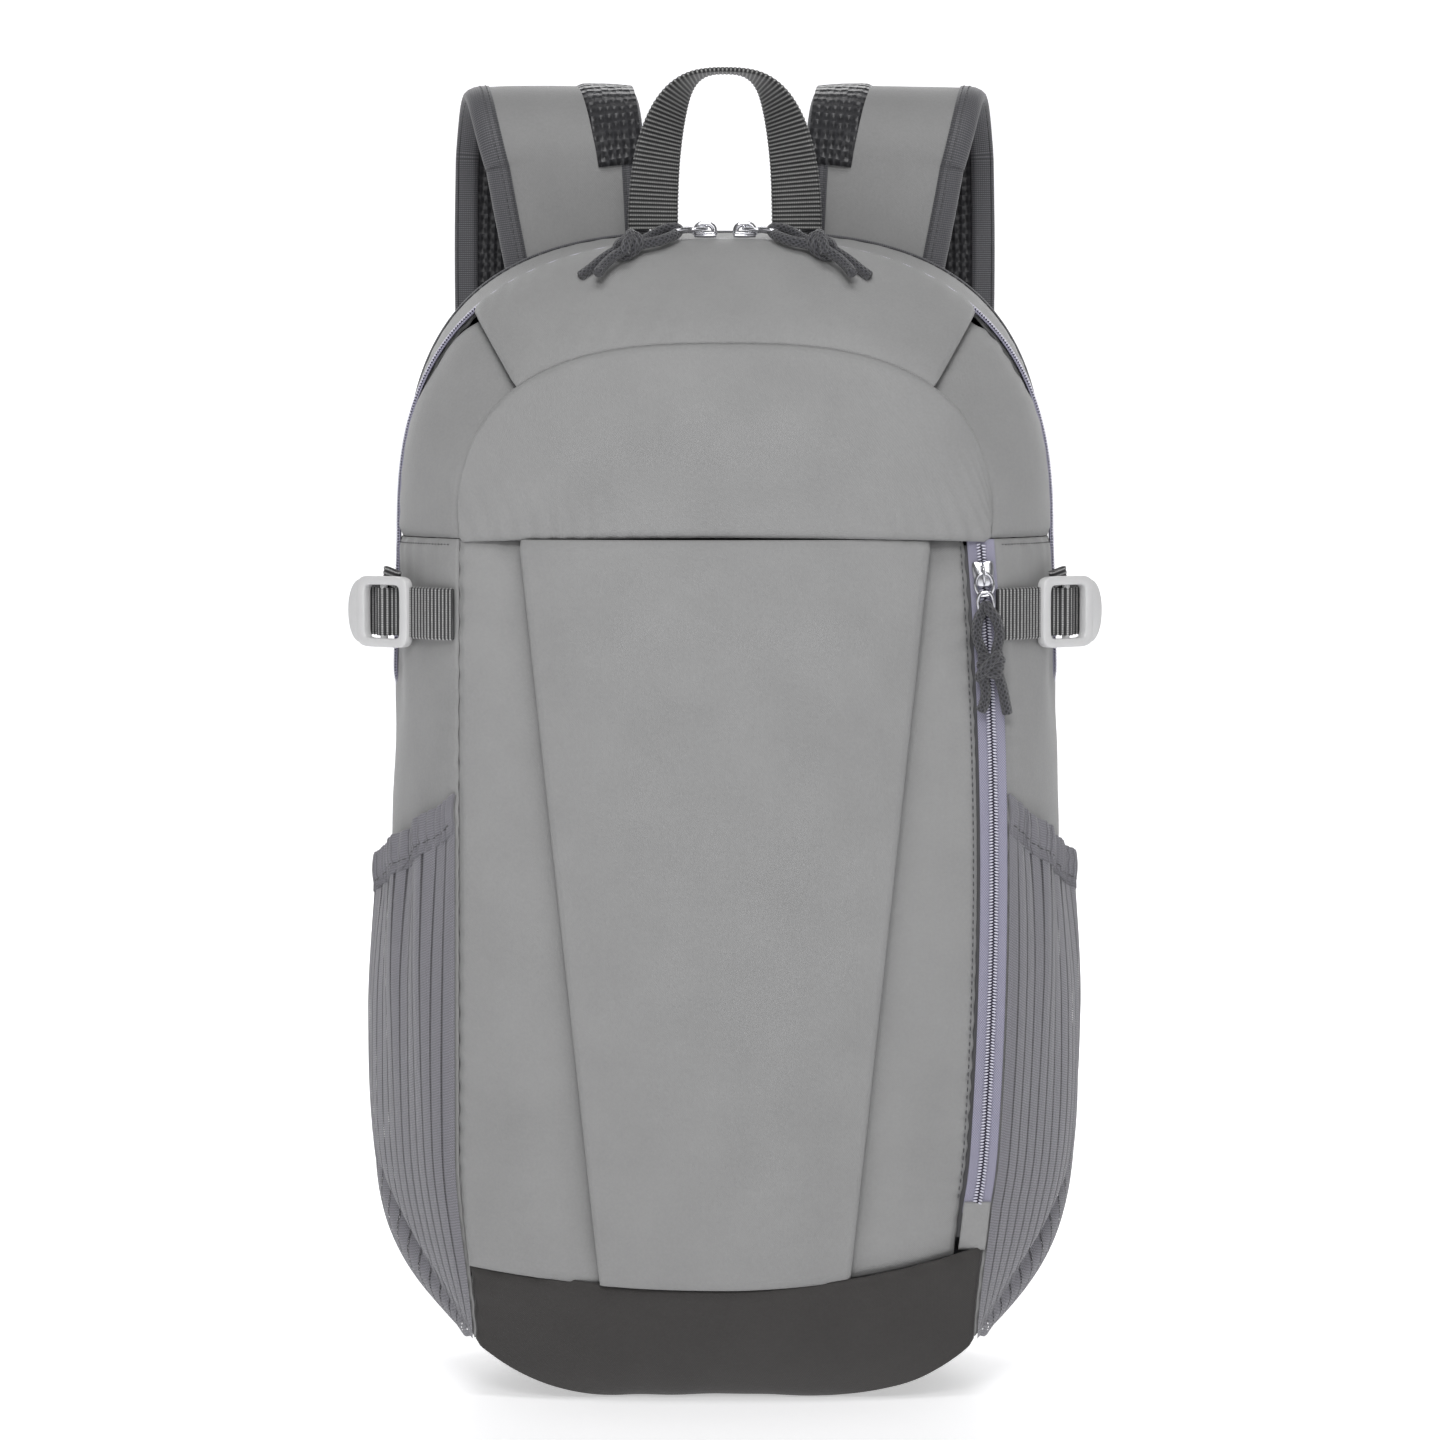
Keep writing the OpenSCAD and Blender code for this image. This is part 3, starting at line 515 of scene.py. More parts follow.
def pocket_skin(x, t):
    z = lerp(boot_top(x) - 0.5, yoke_z - seam_gap, t)
    right = lane_edge(z) - lane_w
    return np.stack([x, seam_y(z) - swell(z) * swell_across(x, -front_half, right), z], -1)


pocket_names = {-1: "left", 1: "right"}
for hand_sign in (-1, 1):
    t, u = np.meshgrid(np.linspace(0, 1, 260), np.linspace(0, 1, 70) ** 1.15, indexing="ij")
    z = lerp(boot_h + boot_rise / 2, yoke_z, t)
    seam = front_edge(z) - 0.15 if hand_sign < 0 else lane_edge(z) - lane_w - 0.15
    inner = fold_x(z) - 9
    x = hand_sign * lerp(inner, seam, u)
    pocket_grid = pocket_skin(x, t)
    past_fold = np.abs(x) - fold_x(z)
    dive = hollow_depth * np.exp(-((np.maximum(0, past_fold) / 14) ** 1.2)) + 0.25 * np.maximum(
        0, -past_fold)
    dive = dive * lerp(0.25, 1, np.clip((z - boot_top(x)) / hollow_closes, 0, 1) ** 0.7)
    drag = 1.1 * np.sin((z + 0.9 * past_fold) / 26) * np.exp(
        -((past_fold - 14) / 14) ** 2) * np.exp(-(((z - 150) / 110) ** 2))
    pocket_grid = pocket_grid + np.stack([0 * x, dive + drag, 0 * x], -1)
    pocket_grid = seam_roll(pucker(pocket_grid, 31 + hand_sign, "acd"), 1.3, 2.2, "acd")
    piece = sheet_of(f"pocket_side_{pocket_names[hand_sign]}_cloth",
                     pocket_grid, shell_cloth, outwards=(0, -1, 0))
    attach(piece, "pack")
    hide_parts(f"pocket_side_{pocket_names[hand_sign]}")

t, u = np.meshgrid(np.linspace(0, 1, 260), np.linspace(-1, 1, 150), indexing="ij")
z = lerp(boot_h, yoke_z, t)
edge = fold_x(z)
reach = 1.06 * u
x = np.clip(reach, -1, 1) * edge
pleat_grid = pocket_skin(x, t)
tuck = np.maximum(0, np.abs(reach) - 1) / 0.06
pleat_grid[..., 1] += -pleat_rise - 0.6 + tuck_depth * np.sin(np.pi / 2 * np.clip(tuck, 0, 1))
pleat_grid[..., 0] -= np.sign(u) * 2.2 * tuck**1.5
pleat_grid[..., 1] += 1.2 * np.exp(-(((np.abs(reach) - 1) / 0.012) ** 2)) * (np.abs(reach) <= 1)
slack = 0.8 * sway(pleat_grid, 120, 41) + 0.3 * sway(pleat_grid, 40, 42)
pleat_grid[..., 1] += slack * np.exp(-((tuck * 3) ** 2))
pleat = sheet_of("pocket_pleat_cloth", seam_roll(pleat_grid, 1.4, 2.2, "ac"),
                 shell_cloth, outwards=(0, -1, 0))
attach(pleat, "pack")
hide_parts("pocket_pleat_panel")

# ---- Base boot -----------------------------------------------------------------------------
# Dark, harder-wearing cloth round the foot of the front and under the bag.

boot_cloth = woven("boot_cloth", srgb(46, 44, 43), srgb(62, 60, 59), 0.6, 0.0009, 0.5, 0.2)
sole = 1.2
u, t = np.meshgrid(np.linspace(-1, 1, 180), np.linspace(0, 1, 110), indexing="ij")
x = (front_half - seam_gap) * u
foot = np.maximum(0, bottom_z(x) - sole) * edge_z / (edge_z - sole)
down = np.clip(t / 0.4, 0, 1)
under = np.clip((t - 0.4) / 0.6, 0, 1)
z = lerp(boot_top(x), foot, np.sin(np.pi / 2 * down))
front_face = seam_y(z) - swell(z) * swell_across(x, -front_half, front_half)
x = x * front_edge(z) / front_half
boot_grid = np.stack([x, lerp(front_face, rim_y, under), z], -1)
boot_grid = pucker(boot_grid, 51, "ab", 0.4, 10, 13)
boot_grid[..., 2] = np.where(under > 0.02, np.maximum(boot_grid[..., 2], foot), boot_grid[..., 2])
boot_grid[..., 2] = np.maximum(boot_grid[..., 2], 0)
boot = sheet_of("boot_cloth_piece", seam_roll(boot_grid, 1.2, 2.2, "abc"), boot_cloth, 1.4)
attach(boot, "pack")
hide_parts("base_boot")

# ---- Seams and stitching -------------------------------------------------------------------
# Bonded polyester thread: a row of lock stitches along each seam that shows.


def tree_of(name, **inputs):
    """An empty Geometry Nodes tree with a geometry input and named inputs of its own."""
    tree = bpy.data.node_groups.new(name, "GeometryNodeTree")
    tree.interface.new_socket("Geometry", in_out="INPUT", socket_type="NodeSocketGeometry")
    tree.interface.new_socket("Geometry", in_out="OUTPUT", socket_type="NodeSocketGeometry")
    for title, kind in inputs.items():
        tree.interface.new_socket(title.replace("_", " "),
                                  in_out="INPUT", socket_type=f"NodeSocket{kind}")
    return tree, tree.nodes.new("NodeGroupInput"), tree.nodes.new("NodeGroupOutput")


def grown(thing, tree, **inputs):
    """Runs a tree on a piece with these inputs and keeps the result as its plain mesh."""
    modifier = thing.modifiers.new("grow", "NODES")
    modifier.node_group = tree
    sockets = {item.name: item.identifier for item in tree.interface.items_tree if item.in_out == "INPUT"}
    for title, value in inputs.items():
        modifier[sockets[title.replace("_", " ")]] = value
    evaluated = thing.evaluated_get(bpy.context.evaluated_depsgraph_get())
    mesh = bpy.data.meshes.new_from_object(evaluated)
    thing.modifiers.clear()
    thing.data = mesh
    return thing


def beads_tree():
    """Small rounded beads along a line: stitches, zip teeth and the like."""
    tree, given, made = tree_of("beads_along_line", Pitch="Float", Width="Float", Height="Float",
                                Length="Float", Lean="Float", Material="Material")
    to_curve = tree.nodes.new("GeometryNodeMeshToCurve")
    points = tree.nodes.new("GeometryNodeCurveToPoints")
    points.mode = "LENGTH"
    outward = texture_node(tree, "GeometryNodeInputNamedAttribute", Name="outward")
    outward.data_type = "FLOAT_VECTOR"
    along = tree.nodes.new("FunctionNodeAlignRotationToVector")
    along.axis = "Z"
    upright = tree.nodes.new("FunctionNodeAlignRotationToVector")
    upright.axis, upright.pivot_axis = "Y", "Z"
    bead = texture_node(tree, "GeometryNodeMeshUVSphere", Segments=8, Rings=5, Radius=0.5)
    size = tree.nodes.new("ShaderNodeCombineXYZ")
    turn = tree.nodes.new("ShaderNodeCombineXYZ")
    shaped = tree.nodes.new("GeometryNodeTransform")
    leaned = tree.nodes.new("GeometryNodeTransform")
    put_on = tree.nodes.new("GeometryNodeInstanceOnPoints")
    real = tree.nodes.new("GeometryNodeRealizeInstances")
    smooth = tree.nodes.new("GeometryNodeSetShadeSmooth")
    paint = tree.nodes.new("GeometryNodeSetMaterial")
    link = tree.links.new
    link(given.outputs["Geometry"], to_curve.inputs[0])
    link(to_curve.outputs[0], points.inputs["Curve"])
    link(given.outputs["Pitch"], points.inputs["Length"])
    link(points.outputs["Tangent"], along.inputs["Vector"])
    link(along.outputs[0], upright.inputs["Rotation"])
    link(outward.outputs[0], upright.inputs["Vector"])
    for socket, title in (("X", "Width"), ("Y", "Height"), ("Z", "Length")):
        link(given.outputs[title], size.inputs[socket])
    link(bead.outputs[0], shaped.inputs["Geometry"])
    link(size.outputs[0], shaped.inputs["Scale"])
    link(given.outputs["Lean"], turn.inputs["Y"])
    link(shaped.outputs[0], leaned.inputs["Geometry"])
    link(turn.outputs[0], leaned.inputs["Rotation"])
    link(points.outputs["Points"], put_on.inputs["Points"])
    link(leaned.outputs[0], put_on.inputs["Instance"])
    link(upright.outputs[0], put_on.inputs["Rotation"])
    link(put_on.outputs[0], real.inputs[0])
    link(real.outputs[0], smooth.inputs[0])
    link(smooth.outputs[0], paint.inputs[0])
    link(given.outputs["Material"], paint.inputs["Material"])
    link(paint.outputs[0], made.inputs[0])
    return tree


beads = beads_tree()


def resampled(path, step):
    """A path's points at even distances, and its length."""
    path = np.asarray(path, float)
    run = np.concatenate([[0], np.cumsum(np.linalg.norm(np.diff(path, axis=0), axis=1))])
    count = max(2, int(run[-1] / step) + 1)
    even = np.linspace(0, run[-1], count)
    return np.stack([np.interp(even, run, path[:, k]) for k in range(path.shape[1])], -1), run[-1]


def bead_line(name, path, outward, material, pitch, size, lean=0.0):
    """Beads of that size (across, high, along) every pitch along a path."""
    path = np.asarray(path, float)
    both = np.concatenate([path, np.broadcast_to(outward, path.shape)], 1)
    both, _ = resampled(both, 1.0)
    mesh = bpy.data.meshes.new(name)
    mesh.from_pydata((both[:, :3] / 1000).tolist(), [(k, k + 1) for k in range(len(both) - 1)], [])
    mesh.attributes.new("outward", "FLOAT_VECTOR",
                        "POINT").data.foreach_set("vector", both[:, 3:].ravel())
    line = bpy.data.objects.new(name, mesh)
    bpy.context.collection.objects.link(line)
    return grown(line, beads, Pitch=pitch / 1000, Width=size[0] / 1000, Height=size[1] / 1000,
                 Length=size[2] / 1000, Lean=lean, Material=material)


thread, thread_tree, thread_shader = blank_material("thread", srgb(70, 70, 72), 0.55)
mottled(thread_tree, thread_shader, srgb(50, 50, 52), srgb(92, 92, 94),
        noise_of(thread_tree, 1500, 1))


def lifted(points, by):
    """Points moved out of the skin, by one distance or by one for each."""
    return points - towards_core(points) * np.expand_dims(np.asarray(by, float), -1)


def stitched(name, path, by=0.15, pitch=2.7, size=(0.5, 0.34, 1.9), outward=None, material=None):
    path = np.asarray(path, float)
    out = -towards_core(path) if outward is None else outward
    row = bead_line(name, lifted(path, by), out, material or thread, pitch, size)
    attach(row, "pack")
    return row


# The seam that closes the top over each side, stitched through just above it.
for hand, mirror in (("right", 1), ("left", -1)):
    seam_v = np.linspace(0.04, 0.97, 60)
    front = float(lane_edge(yoke_z - 3)) if mirror > 0 else front_half
    stitched(f"stitches_side_seam_{hand}",
             side_skin(np.full(60, yoke_z - 2.6), seam_v, front) * (mirror, 1, 1), -0.1, 2.1,
             (0.55, 0.4, 1.3))

# ---- Pocket zip ----------------------------------------------------------------------------
# A nylon coil zip set open to view between two front panels: woven tape, a coil of plastic
# wire sewn on it, and a cloth tab that closes its lower end.

tape_cloth, tape_tree, tape_shader = blank_material("zip_tape_cloth", srgb(150, 148, 166), 0.6)
tape_along, tape_across = cloth_axes(tape_tree)
rib_wave = wave_of(tape_tree, tape_across, 0.0011)
slant = arithmetic(tape_tree, "ADD", tape_along,
                   arithmetic(tape_tree, "MULTIPLY", arithmetic(tape_tree, "ABSOLUTE", rib_wave),
                              0.0004))
tape_shade = arithmetic(tape_tree, "MULTIPLY_ADD",
                        arithmetic(tape_tree, "MULTIPLY",
                                   rib_wave, wave_of(tape_tree, slant, 0.0009)), 0.5)
tape_shade.node.inputs[2].default_value = 0.5
mottled(tape_tree, tape_shader, srgb(112, 110, 132), srgb(176, 174, 192), tape_shade)
bump_into(tape_tree, tape_shader, tape_shade, 0.0003, 0.7)

tooth_plastic, tooth_tree, tooth_shader = blank_material("coil_plastic", srgb(186, 184, 200), 0.32)
mottled(tooth_tree, tooth_shader, srgb(186, 184, 204), srgb(238, 237, 246),
        noise_of(tooth_tree, 1200, 1))
coil_core, coil_core_tree, coil_core_shader = blank_material(
    "coil_core_cord", srgb(54, 52, 66), 0.6)
mottled(coil_core_tree, coil_core_shader, srgb(22, 20, 32),
        srgb(52, 48, 68), noise_of(coil_core_tree, 1400, 1))


def zip_coil(name, path, outward, rides):
    """The coil: two rows of bent wire beads that hook into each other, either side of a dark cord."""
    path, outward = np.asarray(path, float), np.broadcast_to(outward, np.shape(path)).astype(float)
    run = np.gradient(path, axis=0)
    run /= np.linalg.norm(run, axis=1)[:, None]
    across = np.cross(outward, run)
    across /= np.linalg.norm(across, axis=1)[:, None]
    rows = []
    for sign, start in ((-1, 0), (1, 1)):
        row = path + across * sign * 1.0 + outward * 0.55
        if start:
            row = row + run * 0.6
        rows.append(bead_line(f"{name}_{'left' if sign < 0 else 'right'}_row",
                              row, outward, tooth_plastic, 1.2,
                              (1.9, 1.2, 0.72), sign * 0.22))
        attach(rows[-1], rides)
    return rows


def lane_points(z, inset):
    return np.stack([lane_edge(z) - inset, seam_y(z), z], -1)


z = np.linspace(lane_low - 2, yoke_z - seam_gap, 300)
lane_grid = np.stack([lane_points(z,
                                  lane_w - 0.1 - (lane_w - 0.2)
                                  * f) for f in np.linspace(0, 1, 24)], 1)
lane_grid[..., 1] += 0.35
pocket_tape = sheet_of("pocket_zip_tape_cloth", lane_grid, tape_cloth, 0.9, outwards=(0, -1, 0))
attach(pocket_tape, "pack")
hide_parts("pocket_zip_tape")

z = np.linspace(lane_low + 2, yoke_z - 3, 260)
lane_line = lane_points(z, lane_w / 2)
core_grid = np.stack([lane_line + (s * 0.75, -0.25 - 0.5 * (1 - s * s),
                                   0) for s in np.linspace(-1, 1, 7)], 1)
coil_cord = sheet_of("pocket_zip_core", core_grid, coil_core, 0.6, outwards=(0, -1, 0))
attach(coil_cord, "pack")
pocket_rows = zip_coil("pocket_zip", lane_line, (0, -1, 0), "pack")
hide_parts("pocket_zip_coil")

z = np.linspace(float(boot_top(front_half)) - 1.5, lane_low + 2.5, 20)
end_grid = np.stack([lane_points(z,
                                 lane_w - 0.2 - (lane_w - 0.4) * f) for f in np.linspace(0, 1, 14)],
                                 1)
end_grid[..., 1] += -0.4 - 1.3 * np.sin(np.linspace(0, np.pi, 20))[:, None] ** 0.5
zip_end = sheet_of("pocket_zip_end_tab", end_grid, shell_cloth, 1.0, outwards=(0, -1, 0))
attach(zip_end, "pack")
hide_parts("pocket_zip_end")

z = np.linspace(lane_low + 5, yoke_z - 1, 200)
lane_seam = np.stack([lane_edge(z) - lane_w - 2.6, seam_y(z) - 1.2, z], -1)
lane_seam[:, 1] = seam_y(z) - swell(z) * swell_across(lane_seam[:, 0],
                                                      -front_half, lane_edge(z) - lane_w) - 0.1
stitched("stitches_pocket_zip", lane_seam, 0.0, 3.0, (0.55, 0.4, 1.9),
         outward=np.array([0, -1.0, 0]))

# ---- Main zip ------------------------------------------------------------------------------
# The same zip, longer, running from one side over the top to the other between the crown
# and the rear gusset.

main_zip_end = 275.0
a = np.radians(np.linspace(0, 180, 400))
zx, zz = arch(arch_half - 1, body_top - zip_drop - yoke_z, zip_shape, a)
over_top = np.stack([zx, np.full_like(zx, zip_y), zz], -1)
down = np.linspace(main_zip_end, yoke_z - 1, 60)
at_zip = (zip_y - seam_y(down)) / (rim_y - seam_y(down))
zip_path = np.concatenate([side_skin(down, at_zip, front_half + lane_bow / 2), over_top,
                           (side_skin(down, at_zip, front_half) * (-1, 1, 1))[::-1]])
zip_path, _ = resampled(zip_path, 1.5)
zip_run = np.gradient(zip_path, axis=0)
zip_run /= np.linalg.norm(zip_run, axis=1)[:, None]
zip_out = np.cross(zip_run, (0, 1.0, 0))
zip_out /= np.linalg.norm(zip_out, axis=1)[:, None]
zip_out *= np.sign(np.sum(zip_out * -towards_core(zip_path), -1))[:, None]
from_end = np.minimum(np.arange(len(zip_path)), np.arange(len(zip_path))[::-1]) * 1.5
zip_path = zip_path - zip_out * (0.75 + 2.6 * np.exp(-((from_end / 6) ** 2)))[:, None]
tape_grid = np.stack([zip_path + zip_out * 0.9
                      + np.array([0, 3.6 * s, 0]) for s in np.linspace(-1, 1, 20)], 1)
main_tape = sheet_of("main_zip_tape_cloth", tape_grid, tape_cloth, 0.7)
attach(main_tape, "pack")
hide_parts("main_zip_tape")
main_core = np.stack([zip_path + zip_out * (1.25 + 0.5 * (1 - s * s)) + np.array([0, 0.75 * s, 0])
                      for s in np.linspace(-1, 1, 7)], 1)
main_core = sheet_of("main_zip_core", main_core, coil_core, 0.6)
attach(main_core, "pack")
main_rows = zip_coil("main_zip", zip_path + zip_out * 1.0, zip_out, "pack")
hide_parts("main_zip_coil")

# ---- Mesh side pockets ---------------------------------------------------------------------
# Stretch mesh knitted in ribs with a row of small holes between them. Its top edge is turned
# over elastic and gathered, so it stands in small puckers with folds running down from it.

pocket_front_z, pocket_back_z, hem_w, mesh_gap, web_lift = 234.0, 200.0, 12.0, 7.5, 0.6


def knitted(name, painted_hole_shade, rows_in_unit=1.0, loops_in_unit=1.0):
    """Stretch knit: slanted loops that change hand at every rib, and painted shade round each hole for the dark
    seen through it.
    """
    made, tree, shader = blank_material(name, srgb(126, 125, 130), 0.7)
    shader.inputs["Sheen Weight"].default_value = 0.3
    row, down = cloth_axes(tree)
    row = arithmetic(tree, "MULTIPLY", row, rows_in_unit)
    down = arithmetic(tree, "MULTIPLY", down, loops_in_unit)
    within = arithmetic(tree, "ABSOLUTE",
                        arithmetic(tree, "SUBTRACT", arithmetic(tree, "FRACT", row), 0.42))
    slanted = arithmetic(tree, "ADD", arithmetic(tree, "MULTIPLY", within, 4.0), down)
    loops = arithmetic(tree, "MULTIPLY", wave_of(tree, slanted, 1.0), wave_of(tree, row, 0.25))
    # Painted shade: the colour darkens along each row of holes, most of all round each hole, standing in for
    # the shade seen through the holes.
    near_row = arithmetic(tree, "POWER", arithmetic(tree, "MULTIPLY_ADD",
                                                    wave_of(tree, row, 1.0, -math.pi * 1.33), 0.5),
                                                    22.0)
    near_row.node.inputs[0].links[0].from_node.inputs[2].default_value = 0.5
    near_hole = arithmetic(tree, "MULTIPLY_ADD", wave_of(tree, down, 1.0, -math.pi * 0.92), 0.42)
    near_hole.node.inputs[2].default_value = 0.58
    dark = arithmetic(tree, "MULTIPLY", arithmetic(tree, "MULTIPLY", near_row, near_hole),
                      painted_hole_shade)
    body = arithmetic(tree, "MULTIPLY_ADD", loops, 0.30)
    body.node.inputs[2].default_value = 0.72
    shade = arithmetic(tree, "SUBTRACT", body, dark, clamp=True)
    mottled(tree, shader, srgb(30, 29, 34), srgb(136, 135, 142), shade)
    bump_into(tree, shader, shade, 0.0004, 0.8)
    return made


# Both knits carry painted shade round their holes, at half strength.
mesh_knit = knitted("mesh_knit", 0.5)
hem_knit = knitted("hem_knit", 0.5, 217.0, 1000.0)


def holes_tree():
    """Deletes the faces that carry the hole attribute, and paints what is left."""
    tree, given, made = tree_of("mesh_holes", Hole_Limit="Float", Material="Material")
    hole = texture_node(tree, "GeometryNodeInputNamedAttribute", Name="hole")
    hole.data_type = "FLOAT"
    over_limit = texture_node(tree, "FunctionNodeCompare",
                              data_type="FLOAT", operation="GREATER_THAN")
    cut = texture_node(tree, "GeometryNodeDeleteGeometry", domain="FACE")
    real = tree.nodes.new("GeometryNodeRealizeInstances")
    paint = tree.nodes.new("GeometryNodeSetMaterial")
    link = tree.links.new
    link(hole.outputs[0], over_limit.inputs[0])
    link(given.outputs["Hole Limit"], over_limit.inputs[1])
    link(given.outputs["Geometry"], cut.inputs["Geometry"])
    link(over_limit.outputs[0], cut.inputs["Selection"])
    link(cut.outputs[0], real.inputs[0])
    link(real.outputs[0], paint.inputs[0])
    link(given.outputs["Material"], paint.inputs["Material"])
    link(paint.outputs[0], made.inputs[0])
    return tree


holes = holes_tree()


def hem_top(v):
    return pocket_back_z - 2 + (pocket_front_z - pocket_back_z + 8) * np.exp(-v / 0.42)


def pocket_at(v, s, right):
    """The mesh pocket's outer surface: v from front to back, s 0 at its foot, 1 under the hem, 2 at its top."""
    bottom = edge_z + 0.6
    under_hem = hem_top(v) - hem_w
    z = np.where(s <= 1, lerp(bottom, under_hem, s), under_hem + (s - 1) * hem_w)
    skin = side_skin(z, v, lane_edge(z) if right else front_edge(z))
    body = np.minimum(s, 1)
    stand = mesh_gap * np.maximum(0,
                                  np.sin(np.pi * v)) ** 0.55 * np.sin(
                                      np.pi / 2 * np.minimum(1, 1.5 * body + 0.06))
    stand = stand * lerp(1.0, 0.55, np.clip((s - 0.72) / 0.28, 0, 1) ** 1.5)
    turn = 1 if right else -1
    # Soft folds hang from the gathered hem and fade before they reach the foot.
    lean = v + 0.10 * (1 - body) ** 1.2
    fade = np.exp(-(((1 - body) / 0.34) ** 1.4))
    folds = fade * (1.3 * np.sin(29 * lean + 2.1 * np.sin(5 * v + turn) + turn)
                    + 0.8 * np.sin(53 * lean + 2.0 * turn + 3 * body))
    long = 0.9 * np.exp(-(((body - 0.5) / 0.35) ** 2)) * np.sin(17 * lean + 1.0 + turn)
    ripple = np.abs(np.sin(v * 118 + 1.6 * np.sin(v * 17 + turn) + 0.5 * (s - 1)))
    gather = np.where(s > 1, 1.0, np.exp(-(1 - body) / 0.05)) * (1.5 * ripple - 0.9)
    # One deep crease bends in from the outer side to the foot, and leaves a rolled band outside it.
    line = lerp(0.03, 0.42, np.clip((body - 0.02) / 0.34, 0, 1) ** 0.62)
    strength = np.exp(-(((body - 0.16) / 0.22) ** 2))
    crease = strength * (-5.2 * np.exp(-(((v - line) / 0.035) ** 2))
                         + 1.7 * np.exp(-(((v - line - 0.11) / 0.07) ** 2)))
    edge = np.minimum(1, np.minimum(v, 1 - v) / 0.04)
    lift = web_lift * edge + 0.4 + stand + edge * (folds + long + gather + crease)
    return lifted(skin, np.maximum(0.45, lift))


hole_rows, holes_down = 28, 190
strip = np.concatenate([[0.0],
                        np.ravel([[k + 0.42, k + 0.86,
                                   k + 1.0] for k in range(hole_rows)])]) / hole_rows
link_down = np.concatenate([[0.0],
                            np.ravel([[k + 0.48,
                                       k + 1.0] for k in range(holes_down)])]) / holes_down
for hand, mirror in (("right", 1), ("left", -1)):
    s, v = np.meshgrid(link_down, 0.001 + 0.985 * strip, indexing="ij")
    net = pocket_at(v, s, mirror > 0) * (mirror, 1, 1)
    rows, columns = net.shape[:2]
    faces = grid_faces(rows, columns)
    if mirror > 0:
        faces = faces[:, ::-1]
    pocket_mesh = put(f"mesh_pocket_{hand}_net", net.reshape(-1, 3), faces, mesh_knit,
                      np.stack([v * hole_rows / 0.985, s * holes_down], -1).reshape(-1, 2))
    a, b, c, d = (net.reshape(-1, 3)[faces[:, k]] for k in range(4))
    i, j = np.meshgrid(np.arange(rows - 1), np.arange(columns - 1), indexing="ij")
    is_hole = ((i % 2 == 1) & (j % 3 == 2) & (i > 4) & (i < rows - 3)).ravel()
    pocket_mesh.data.attributes.new("hole", "FLOAT",
                                    "FACE").data.foreach_set("value", is_hole.astype(float))
    grown(pocket_mesh, holes, Hole_Limit=0.5, Material=mesh_knit)
    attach(pocket_mesh, "pack")
    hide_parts(f"mesh_pocket_{hand}")

    s, v = np.meshgrid(np.linspace(0.98, 2.0, 24), np.linspace(0.004, 0.985, 520), indexing="ij")
    hem_grid = pocket_at(v, s, mirror > 0)
    puff = 0.7 * np.sin(np.pi * np.clip(s - 1, 0, 1)) ** 0.7
    hem_grid = lifted(hem_grid, 0.35 + puff) * (mirror, 1, 1)
    hem = sheet_of(f"pocket_hem_{hand}_knit", hem_grid, hem_knit, 1.6)
    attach(hem, "pack")
    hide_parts(f"pocket_hem_{hand}")
    stitch_v = np.linspace(0.02, 0.97, 120)
    hem_line = lifted(pocket_at(stitch_v, np.full(120, 1.03), mirror > 0), 0.5) * (mirror, 1, 1)
    hem_row = stitched(f"stitches_hem_{hand}", hem_line, 0.1, 2.6, (0.6, 0.45, 2.0))

# ---- Webbing -------------------------------------------------------------------------------
# Polyester webbing woven with heavy cross ribs, dark, with a painted highlight on the crest of every rib.


def ribs_tree():
    """Raises cross ribs on a webbing that carries its length along in its UV map."""
    tree, given, made = tree_of("webbing_ribs", Rib_Pitch="Float",
                                Rib_Height="Float", Material="Material")
    cloth = texture_node(tree, "GeometryNodeInputNamedAttribute", Name="run")
    cloth.data_type = "FLOAT"
    turn = texture_node(tree, "ShaderNodeMath", operation="DIVIDE")
    wave = texture_node(tree, "ShaderNodeMath", operation="MULTIPLY")
    wave.inputs[1].default_value = math.pi
    sine = texture_node(tree, "ShaderNodeMath", operation="SINE")
    rise = texture_node(tree, "ShaderNodeMath", operation="ABSOLUTE")
    high = texture_node(tree, "ShaderNodeMath", operation="MULTIPLY")
    normal = tree.nodes.new("GeometryNodeInputNormal")
    scaled = texture_node(tree, "ShaderNodeVectorMath", operation="SCALE")
    move = tree.nodes.new("GeometryNodeSetPosition")
    real = tree.nodes.new("GeometryNodeRealizeInstances")
    paint = tree.nodes.new("GeometryNodeSetMaterial")
    link = tree.links.new
    link(cloth.outputs[0], turn.inputs[0])
    link(given.outputs["Rib Pitch"], turn.inputs[1])
    link(turn.outputs[0], wave.inputs[0])
    link(wave.outputs[0], sine.inputs[0])
    link(sine.outputs[0], rise.inputs[0])
    link(rise.outputs[0], high.inputs[0])
    link(given.outputs["Rib Height"], high.inputs[1])
    link(normal.outputs[0], scaled.inputs[0])
    link(high.outputs[0], scaled.inputs["Scale"])
    link(given.outputs["Geometry"], move.inputs["Geometry"])
    link(scaled.outputs[0], move.inputs["Offset"])
    link(move.outputs[0], real.inputs[0])
    link(real.outputs[0], paint.inputs[0])
    link(given.outputs["Material"], paint.inputs["Material"])
    link(paint.outputs[0], made.inputs[0])
    return tree


ribs = ribs_tree()


